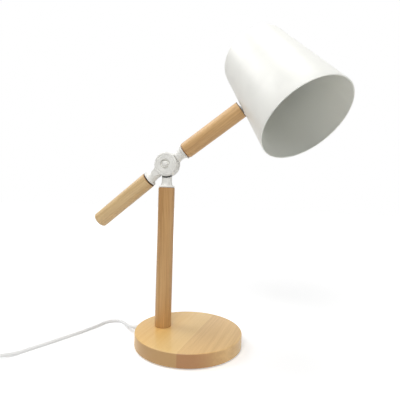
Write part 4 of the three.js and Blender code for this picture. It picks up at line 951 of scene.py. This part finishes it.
def wire_way(reach, low, high, slot_high):
    """The ring groove that the wires lie in, and the slot up to it."""
    inner, outer, _ = WIRE_RING
    slot = box((-WIRE_BORE, 0, inner + HAIR), (WIRE_BORE, slot_high, reach - SOCKET_DEPTH))
    return [spinning_room(outer, low, high, inner), slot]


def post_casting(look):
    plate = soft_bar(DISC_RADIUS, -TONGUE_HALF, TONGUE_HALF, EDGE_SOFT, EDGE_SOFT)
    tongue = lathe(plate, DISC_SIDES, about="Y")
    neck = shaped(stem(POST_REACH), [
        spinning_room(SHOULDER, TONGUE_HALF - HAIR, ROD_RADIUS),
        spinning_room(SHOULDER, -ROD_RADIUS, HAIR - TONGUE_HALF),
    ])
    bore = lathe(bar(BOLT_RADIUS + CLEAR, -ROD_RADIUS, ROD_RADIUS), BORE_SIDES, about="Y")
    groove = wire_way(POST_REACH, TONGUE_HALF - WIRE_RING[2], TONGUE_HALF + PAST, TONGUE_HALF + CLEAR)
    made = moved(shaped(tongue, [bore, *socket(POST_REACH, SHOULDER), *groove], [neck]), POST_AXES)
    piece("upright_casting", made, look, "base", ["post_knuckle"])


def tail_casting(look):
    neck = shaped(stem(TAIL_REACH), [spinning_room(TURNING_ROOM, -DISC_NEAR - HAIR, ROD_RADIUS)])
    half = BOLT_SQUARE + CLEAR
    square = box((-half, -DISC_FAR, -half), (half, 0, half))
    hole = lathe(bar(STUD_HOLE, TAIL_REACH - STUD_SEAT, TAIL_REACH + PAST), BORE_SIDES)
    made = shaped(disc(FRONT, RECESS, BOLT_RADIUS), [square, hole], [web(FRONT), neck])
    piece("tail_casting", moved(made, TAIL_AXES), look, "tail", ["tail_knuckle"])


def arm_casting(look):
    neck = shaped(stem(ARM_REACH), [spinning_room(TURNING_ROOM, -ROD_RADIUS, DISC_NEAR + HAIR)])
    body = disc(REAR, REAR_RECESS, BOLT_RADIUS + CLEAR)
    deep = DISC_NEAR + WIRE_RING[2]
    groove = wire_way(ARM_REACH, DISC_NEAR - PAST, deep, deep - HAIR)
    made = shaped(body, [*socket(ARM_REACH, DISC_RADIUS), *groove], [web(REAR), neck])
    piece("arm_casting", moved(made, ARM_AXES), look, "arm", ["arm_knuckle"])


def bolt(look):
    """A round-headed bolt, square under its head and threaded behind."""
    seat = -DISC_FAR + RECESS[1] - CLEAR
    radius, height = 5 * MM, 3.4 * MM
    rim = height / 4
    end = 13.1 * MM
    thread_from, thread_pitch, thread_depth = 6 * MM, 0.8 * MM, 0.3 * MM
    threads = []
    count = int((end - thread_from) / thread_pitch)
    for i in range(count):
        start = thread_from + thread_pitch * i
        threads += [(BOLT_RADIUS - thread_depth, start), (BOLT_RADIUS, start + thread_pitch / 2)]
    profile = [
        (0, seat - height),
        *[
            (radius * math.sin(angle), seat - rim - (height - rim) * math.cos(angle))
            for angle in (math.pi / 2 * i / 12 for i in range(1, 13))
        ],
        (radius, seat),
        (BOLT_RADIUS, seat),
        *threads,
        (BOLT_RADIUS - thread_depth, end),
        (0, end),
    ]
    half, square_length = BOLT_SQUARE, 2.3 * MM
    neck = box((-half, seat - rim, -half), (half, seat + square_length, half), TAIL_AXES)
    made = shaped(lathe(profile, MEDIUM, TAIL_AXES, "Y"), joins=[neck])
    piece("hinge_bolt_fine", made, look, "tail", ["hinge_bolt"])


# Shade, drawn with its mouth toward +Z

SHADE_BACK, MOUTH_Z = span("shade", SHADE_AXES)
MOUTH_RADIUS = 65.4 * MM
TAPER = math.tan(math.radians(5.7))
SHADE_WALL = 0.8 * MM
SHADE_CORNER = 8 * MM
HEM_HEIGHT = 3 * MM
HEM_EXTRA = 0.6 * MM


def shade_radius(height):
    return MOUTH_RADIUS - (MOUTH_Z - height) * TAPER


def shade_shell(look):
    back = SHADE_BACK
    corner_z = back + SHADE_CORNER
    corner_x = shade_radius(corner_z) - SHADE_CORNER / math.cos(math.atan(TAPER))
    lean = math.degrees(math.atan(TAPER))
    lip = SHADE_WALL / 2
    inside = shade_radius(MOUTH_Z - HEM_HEIGHT) - SHADE_WALL
    walls = [back + (MOUTH_Z - back) * share for share in (0.2, 0.4, 0.6, 0.8)]
    profile = [
        (0, back),
        *arc(corner_x, corner_z, SHADE_CORNER, -90, -lean, 16),
        *[(shade_radius(z), z) for z in walls],
        *arc(shade_radius(MOUTH_Z) - lip, MOUTH_Z - lip, lip, 0, 90, 6),
        *arc(shade_radius(MOUTH_Z) - SHADE_WALL - HEM_EXTRA + lip, MOUTH_Z - lip, lip, 90, 180, 6),
        (inside - HEM_EXTRA, MOUTH_Z - HEM_HEIGHT + lip),
        (inside - HEM_EXTRA / 2, MOUTH_Z - HEM_HEIGHT),
        (inside, MOUTH_Z - HEM_HEIGHT),
        *[(shade_radius(z) - SHADE_WALL, z) for z in reversed(walls)],
        *arc(corner_x, corner_z, SHADE_CORNER - SHADE_WALL, -lean, -90, 16),
        (0, back + SHADE_WALL),
    ]
    hole = lathe(bar(TUBE_HOLE, 0, MOUTH_RADIUS), SMALL, SHADE_AXES, "X")
    made = shaped(lathe(profile, SHADE_SIDES, SHADE_AXES), [hole])
    piece("shade_shell", made, look, "shade", ["shade"])


# Lampholder and bulb, on the shade's own axis

HOLDER_TOP, HOLDER_RIM = span("lampholder", SHADE_AXES)
HOLDER_RADIUS = 14 * MM
HOLDER_BODY = 13 * MM
RING_LOW = HOLDER_RIM - 11 * MM
BULB_TIP = span("bulb_globe", SHADE_AXES)[1]
COLLAR_LOW, COLLAR_HIGH = span("bulb_collar", SHADE_AXES)
BULB_RADIUS = 17.5 * MM
BULB_MIDDLE = BULB_TIP - BULB_RADIUS
BULB_NECK = 11.8 * MM


def lampholder(look):
    edge = 1 * MM
    half = edge / 2
    ribs = []
    count = 5
    step = (HOLDER_RIM - RING_LOW) / (count + 1)
    for i in range(1, count + 1):
        z = RING_LOW + step * i
        ribs += [(HOLDER_RADIUS, z - half), (HOLDER_RADIUS - half, z), (HOLDER_RADIUS, z + half)]
    cavity, cavity_floor, nipple_depth = 8.2 * MM, HOLDER_TOP + 6.5 * MM, 2.5 * MM
    wire_height, wire_side, wire_hole, wire_from = 3.25 * MM, 3 * MM, 1.3 * MM, 10 * MM
    profile = [
        (0, HOLDER_TOP),
        *arc(HOLDER_BODY - 2 * edge, HOLDER_TOP + 2 * edge, 2 * edge, -90, 0, 8),
        (HOLDER_BODY, RING_LOW - edge / 4),
        (HOLDER_BODY + edge / 4, RING_LOW),
        (HOLDER_RADIUS - edge / 4, RING_LOW),
        (HOLDER_RADIUS, RING_LOW + edge / 4),
        *ribs,
        *arc(HOLDER_RADIUS - edge, HOLDER_RIM - edge, edge, 0, 90, 6),
        *arc(cavity + half, HOLDER_RIM - half, half, 90, 180, 4),
        (cavity, cavity_floor),
        (0, cavity_floor),
    ]
    holes = [lathe(bar(TUBE_HOLE, HOLDER_TOP - PAST, HOLDER_TOP + nipple_depth), SMALL, SHADE_AXES)]
    for side in (-wire_side, wire_side):
        way = SHADE_AXES @ Matrix.Translation((0, side, HOLDER_TOP + wire_height))
        holes.append(lathe(bar(wire_hole, wire_from, HOLDER_RADIUS + PAST), HOLE_SIDES, way, "X"))
    made = shaped(lathe(profile, FINE, SHADE_AXES), holes)
    piece("lampholder_fine", made, look, "shade", ["lampholder"])


def bulb(glass, collar):
    start = -90 + math.degrees(math.asin(BULB_NECK / BULB_RADIUS))
    wall = 1 * MM
    outer = arc(0, BULB_MIDDLE, BULB_RADIUS, start, 90, 32)
    inner = arc(0, BULB_MIDDLE, BULB_RADIUS - wall, 90, start, 32)
    profile = [(0 if r < wall / 100 else r, z) for r, z in inner + outer]
    globe = lathe(profile, FINE, SHADE_AXES)
    piece("opal_globe", globe, glass, "shade", ["bulb_globe"])
    cap_radius, edge, edge_drop, rim_gap = 6.9 * MM, 1.5 * MM, 2 * MM, 0.9 * MM
    profile = [
        (0, COLLAR_LOW),
        (cap_radius, COLLAR_LOW),
        (cap_radius, HOLDER_RIM + rim_gap),
        *arc(BULB_NECK - edge, COLLAR_HIGH - edge_drop, edge, -60, 0, 6),
        (BULB_NECK, COLLAR_HIGH),
        (0, COLLAR_HIGH),
    ]
    neck = lathe(profile, FINE, SHADE_AXES)
    piece("bulb_collar_fine", neck, collar, "shade", ["bulb_collar"])


# In-line switch, drawn from its inlet along +X and turned to its heading

SWITCH_AT = Vector((-217.8, -152.9, 0)) * MM
SWITCH_HEADING = math.radians(248.8)
SWITCH_AXES = Matrix.Translation(SWITCH_AT) @ Matrix.Rotation(SWITCH_HEADING, 4, "Z")
SWITCH_LENGTH = 64 * MM
SWITCH_WIDTH = 25 * MM
SWITCH_HEIGHT = 16 * MM
SWITCH_MIDDLE = CLEAR + SWITCH_HEIGHT / 2
ROCKER_AT = Vector((SWITCH_LENGTH / 2, 0, 13.4 * MM))


def bevelled(made, edges, width, segments):
    bmesh.ops.bevel(
        made, geom=edges, offset=width, affect="EDGES", segments=segments, profile=0.5, material=-1
    )


def rounded_slab(low, high, at_top):
    """A slab with round corners, its edges rounded at the top or at the bottom."""
    corner, rim_round = 8 * MM, 2 * MM
    made = box(low, high)
    corners = [e for e in made.edges if abs(e.verts[0].co.z - e.verts[1].co.z) > CLEAR]
    bevelled(made, corners, corner, 10)
    level = high[2] if at_top else low[2]
    rim = [e for e in made.edges if all(abs(v.co.z - level) < CLEAR / 10 for v in e.verts)]
    bevelled(made, rim, rim_round, 5)
    return made


def switch_case(look):
    half = SWITCH_WIDTH / 2
    seam = CLEAR / 2
    top = CLEAR + SWITCH_HEIGHT
    upper = rounded_slab((0, -half, SWITCH_MIDDLE + seam), (SWITCH_LENGTH, half, top), True)
    lower = rounded_slab((0, -half, CLEAR), (SWITCH_LENGTH, half, SWITCH_MIDDLE - seam), False)
    window_half = Vector((9.5, 5, 0)) * MM
    middle = Vector((SWITCH_LENGTH / 2, 0, 0))
    window_low = middle - window_half + Vector((0, 0, SWITCH_MIDDLE - PAST))
    window_high = middle + window_half + Vector((0, 0, SWITCH_HEIGHT * 2))
    window = box(window_low, window_high)
    pin_radius, pin_half = 1.5 * MM, 6.5 * MM
    pivot = lathe(bar(pin_radius, -pin_half, pin_half), HOLE_SIDES, Matrix.Translation(ROCKER_AT), "Y")
    upper = moved(shaped(upper, [window, pivot]), SWITCH_AXES)
    piece("switch_case_top", upper, look, "base", ["switch_top"])
    lower = moved(lower, SWITCH_AXES)
    piece("switch_case_bottom", lower, look, "base", ["switch_bottom"])


def rocker(look):
    made = copied("switch_rocker")
    piece("rocker_cap", made, look, "rocker", ["switch_rocker"], soft_edges=0.35 * MM)


def plug(look, metal):
    piece("plug_shell", copied("plug_body"), look, "base", ["plug_body"])
    root_edge, tip_edge = 0.2 * MM, 1.2 * MM
    for node in ("plug_pin_left", "plug_pin_right"):
        low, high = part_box(node)
        middle = (low + high) / 2
        way = axes(Vector((middle.x, low.y, middle.z)), Vector((0, 0, 1)), ACROSS)
        profile = soft_bar((high.x - low.x) / 2, 0, high.y - low.y, root_edge, tip_edge)
        piece(f"{node}_fine", lathe(profile, SMALL, way), metal, "base", [node])


SLOT_LOOKS = {
    "beech": "rod_wood", "white_enamel": "enamel", "zinc_steel": "zinc", "brass": "brass",
    "ballast_iron": "iron", "foam": "foam", "white_plastic": "white_plastic", "nylon": "nylon",
    "opal_glass": "opal", "cord_pvc": "cord", "live_pvc": "live", "neutral_pvc": "neutral",
}


def small_parts(looks):
    """Pieces whose CAD shape only needs its edges softened, by the millimetres given."""
    softened = {
        "holder_bracket": ("zinc_steel", "shade", 0.3),
        "nipple_nut": ("zinc_steel", "shade", 0.3),
        "swivel_nut": ("zinc_steel", "arm", 0.3),
        "hinge_nut": ("zinc_steel", "tail", 0.3),
        "post_nut": ("zinc_steel", "base", 0.3),
        "shade_seat": ("nylon", "shade", 0.2),
        "cord_clamp": ("nylon", "base", 0.4),
        "coil_tie": ("white_plastic", "base", 0.25),
    }
    for node, (slot, body, edge) in softened.items():
        piece(f"{node}_fine", copied(node), looks[SLOT_LOOKS[slot]], body, [node], edge * MM)


def wires(looks):
    """The two wires that show between the arm's tube and the lampholder."""
    for kind in ("live", "neutral"):
        node = f"holder_wire_{kind}"
        piece(f"{node}_fine", copied(node), looks[kind], "shade", [node])


def dress_inner_nodes(looks):
    """CAD nodes whose shape is right keep it and take the finish of their slot."""
    slots = {row["node"]: row["material_slot"] for row in frame["record"]["subparts"]}
    for name, node in frame["nodes"].items():
        node.data.materials.clear()
        node.data.materials.append(looks[SLOT_LOOKS[slots[name]]])


# Where the painted shadow of the gap at the shade's wall starts on the arm rod
ARM_GAP_SHADE = ARM_END - 1.1 * MM


def all_looks():
    return {
        "foot_wood": beech_boards("beech boards"),
        "post_wood": beech_rod("beech upright", POST_AXES, UPRIGHT_BEECH, (0.05, -0.04), TOP_SHADE_REACH),
        "tail_wood": beech_rod("beech tail", TAIL_AXES, TAIL_BEECH, (-0.03, 0.05)),
        "rod_wood": beech_rod("beech arm", ARM_AXES, ARM_BEECH, (0.045, 0.035), None, ARM_GAP_SHADE),
        "enamel": enamel("white enamel", CASTING_SHADED_COAT),
        "shade_enamel": enamel("shade enamel", WHITE_COAT, inner_wall_shade, INNER_SHADED_COAT),
        "upright_enamel": enamel("upright enamel", CASTING_SHADED_COAT, shoulder_gap_shade, PAINTED_GAP_SHADE),
        "tail_enamel": enamel("tail enamel", CASTING_SHADED_COAT, seat_gap_shade, PAINTED_GAP_SHADE),
        "zinc": plain_metal("zinc plated steel", tone(196, 199, 203), 0.22, 0.12),
        "brass": plain_metal("brass", tone(214, 178, 104), 0.2, 0.15),
        "iron": plain_metal("blackened iron", tone(74, 75, 78), 0.5, 0.3),
        "foam": moulded("black foam", tone(46, 46, 48), 0.8, 900, 0.15 * MM),
        "white_plastic": moulded("white plastic", tone(241, 241, 238), 0.32),
        "nylon": moulded("natural nylon", tone(228, 226, 217), 0.4),
        "opal": opal_glass("opal glass"),
        "cord": moulded("white cord", tone(249, 249, 248), 0.3, 500, 0.05 * MM),
        "live": moulded("brown insulation", tone(122, 72, 42), 0.35),
        "neutral": moulded("blue insulation", tone(46, 92, 166), 0.35),
    }


# Stage and light

FLOOR_HALF = 6
FLOOR_PALE = (0.9, 0.9, 0.9, 1)
FLOOR_GLOW = (0.36, 1.0)  # near the lamp and far from it
GLOW_REACH = (0.3, 1.6)
WORLD_LIGHT = 0.1
WHITE = (1, 1, 1, 1)
LIGHT_SIZE = 1
LIGHT_AIM = Vector((0.04, 0, 0.22))


def shown_white(nodes, lit, white):
    """Shows the white shader to the camera, mirrors and glass, and the lit one to the rest."""
    ways = ("Is Camera Ray", "Is Glossy Ray", "Is Transmission Ray")
    seen, *others = [nodes.node("ShaderNodeLightPath", output=way) for way in ways]
    for other in others:
        seen = seen.maths("MAXIMUM", seen, other)
    return nodes.node("ShaderNodeMixShader", None, [seen, lit, white])


def floor():
    """A wide floor that keeps the lamp's shadow and glows toward white away from it."""
    made = bmesh.new()
    bmesh.ops.create_grid(made, x_segments=1, y_segments=1, size=FLOOR_HALF)
    ground = placed("floor", meshed("floor", made))
    finish = Finish("pale floor")
    away = finish.vector_maths("LENGTH", finish.place(), output="Value")
    strength = finish.step(away, *GLOW_REACH, *FLOOR_GLOW)
    glow = finish.node("ShaderNodeEmission", None, {"Strength": strength})
    lit = finish.node("ShaderNodeBsdfDiffuse", None, {"Color": FLOOR_PALE})
    white = finish.node("ShaderNodeAddShader", None, [lit, glow])
    finish.close("ShaderNodeOutputMaterial", shown_white(finish, lit, white))
    ground.data.materials.append(finish.material)
    ground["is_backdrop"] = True


def world():
    sky = bpy.data.worlds.new("studio")
    nodes = Nodes(sky)
    lit, white = [
        nodes.node("ShaderNodeBackground", None, {"Color": WHITE, "Strength": strength})
        for strength in (WORLD_LIGHT, 1)
    ]
    nodes.close("ShaderNodeOutputWorld", shown_white(nodes, lit, white))
    bpy.context.scene.world = sky


def lamp(name, at, power):
    data = bpy.data.lights.new(name, "AREA")
    data.shape = "DISK"
    data.size = LIGHT_SIZE
    data.energy = power
    light = placed(name, data)
    way = (LIGHT_AIM - Vector(at)).normalized()
    light.matrix_world = Matrix.Translation(at) @ way.to_track_quat("-Z", "Y").to_matrix().to_4x4()


def lights():
    """Soft boxes above, to the left and in front, and weak ones on the right."""
    lamp("overhead", (0.04, 0, 2), 8.4)
    lamp("left_high", (-1.2, 0, 1.6), 12.4)
    lamp("front_high", (0.04, -1.3, 1.6), 15.8)
    lamp("right_front_high", (1, -0.9, 1.5), 2.6)
    lamp("right", (1.8, 0, 0.5), 4.7)


def main():
    camera()
    looks = all_looks()
    cord = mains_cord(looks["cord"])
    cord_sleeve(looks["cord"])
    dress_inner_nodes(looks)
    foot(looks["foot_wood"])
    foot_pad(looks["foam"])
    upright(looks["post_wood"])
    tail_wood(looks["tail_wood"])
    arm_wood(looks["rod_wood"])
    post_casting(looks["upright_enamel"])
    tail_casting(looks["tail_enamel"])
    arm_casting(looks["enamel"])
    bolt(looks["enamel"])
    shade_shell(looks["shade_enamel"])
    lampholder(looks["white_plastic"])
    bulb(looks["opal"], looks["white_plastic"])
    switch_case(looks["white_plastic"])
    rocker(looks["white_plastic"])
    plug(looks["cord"], looks["zinc"])
    small_parts(looks)
    wires(looks)
    floor()
    world()
    lights()
    bpy.context.scene.view_settings.view_transform = "Standard"


main()


def corners(bounds):
    return [[float(value) for value in corner] for corner in bounds]


{"cad": corners(cad_box), "visual": corners(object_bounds())}
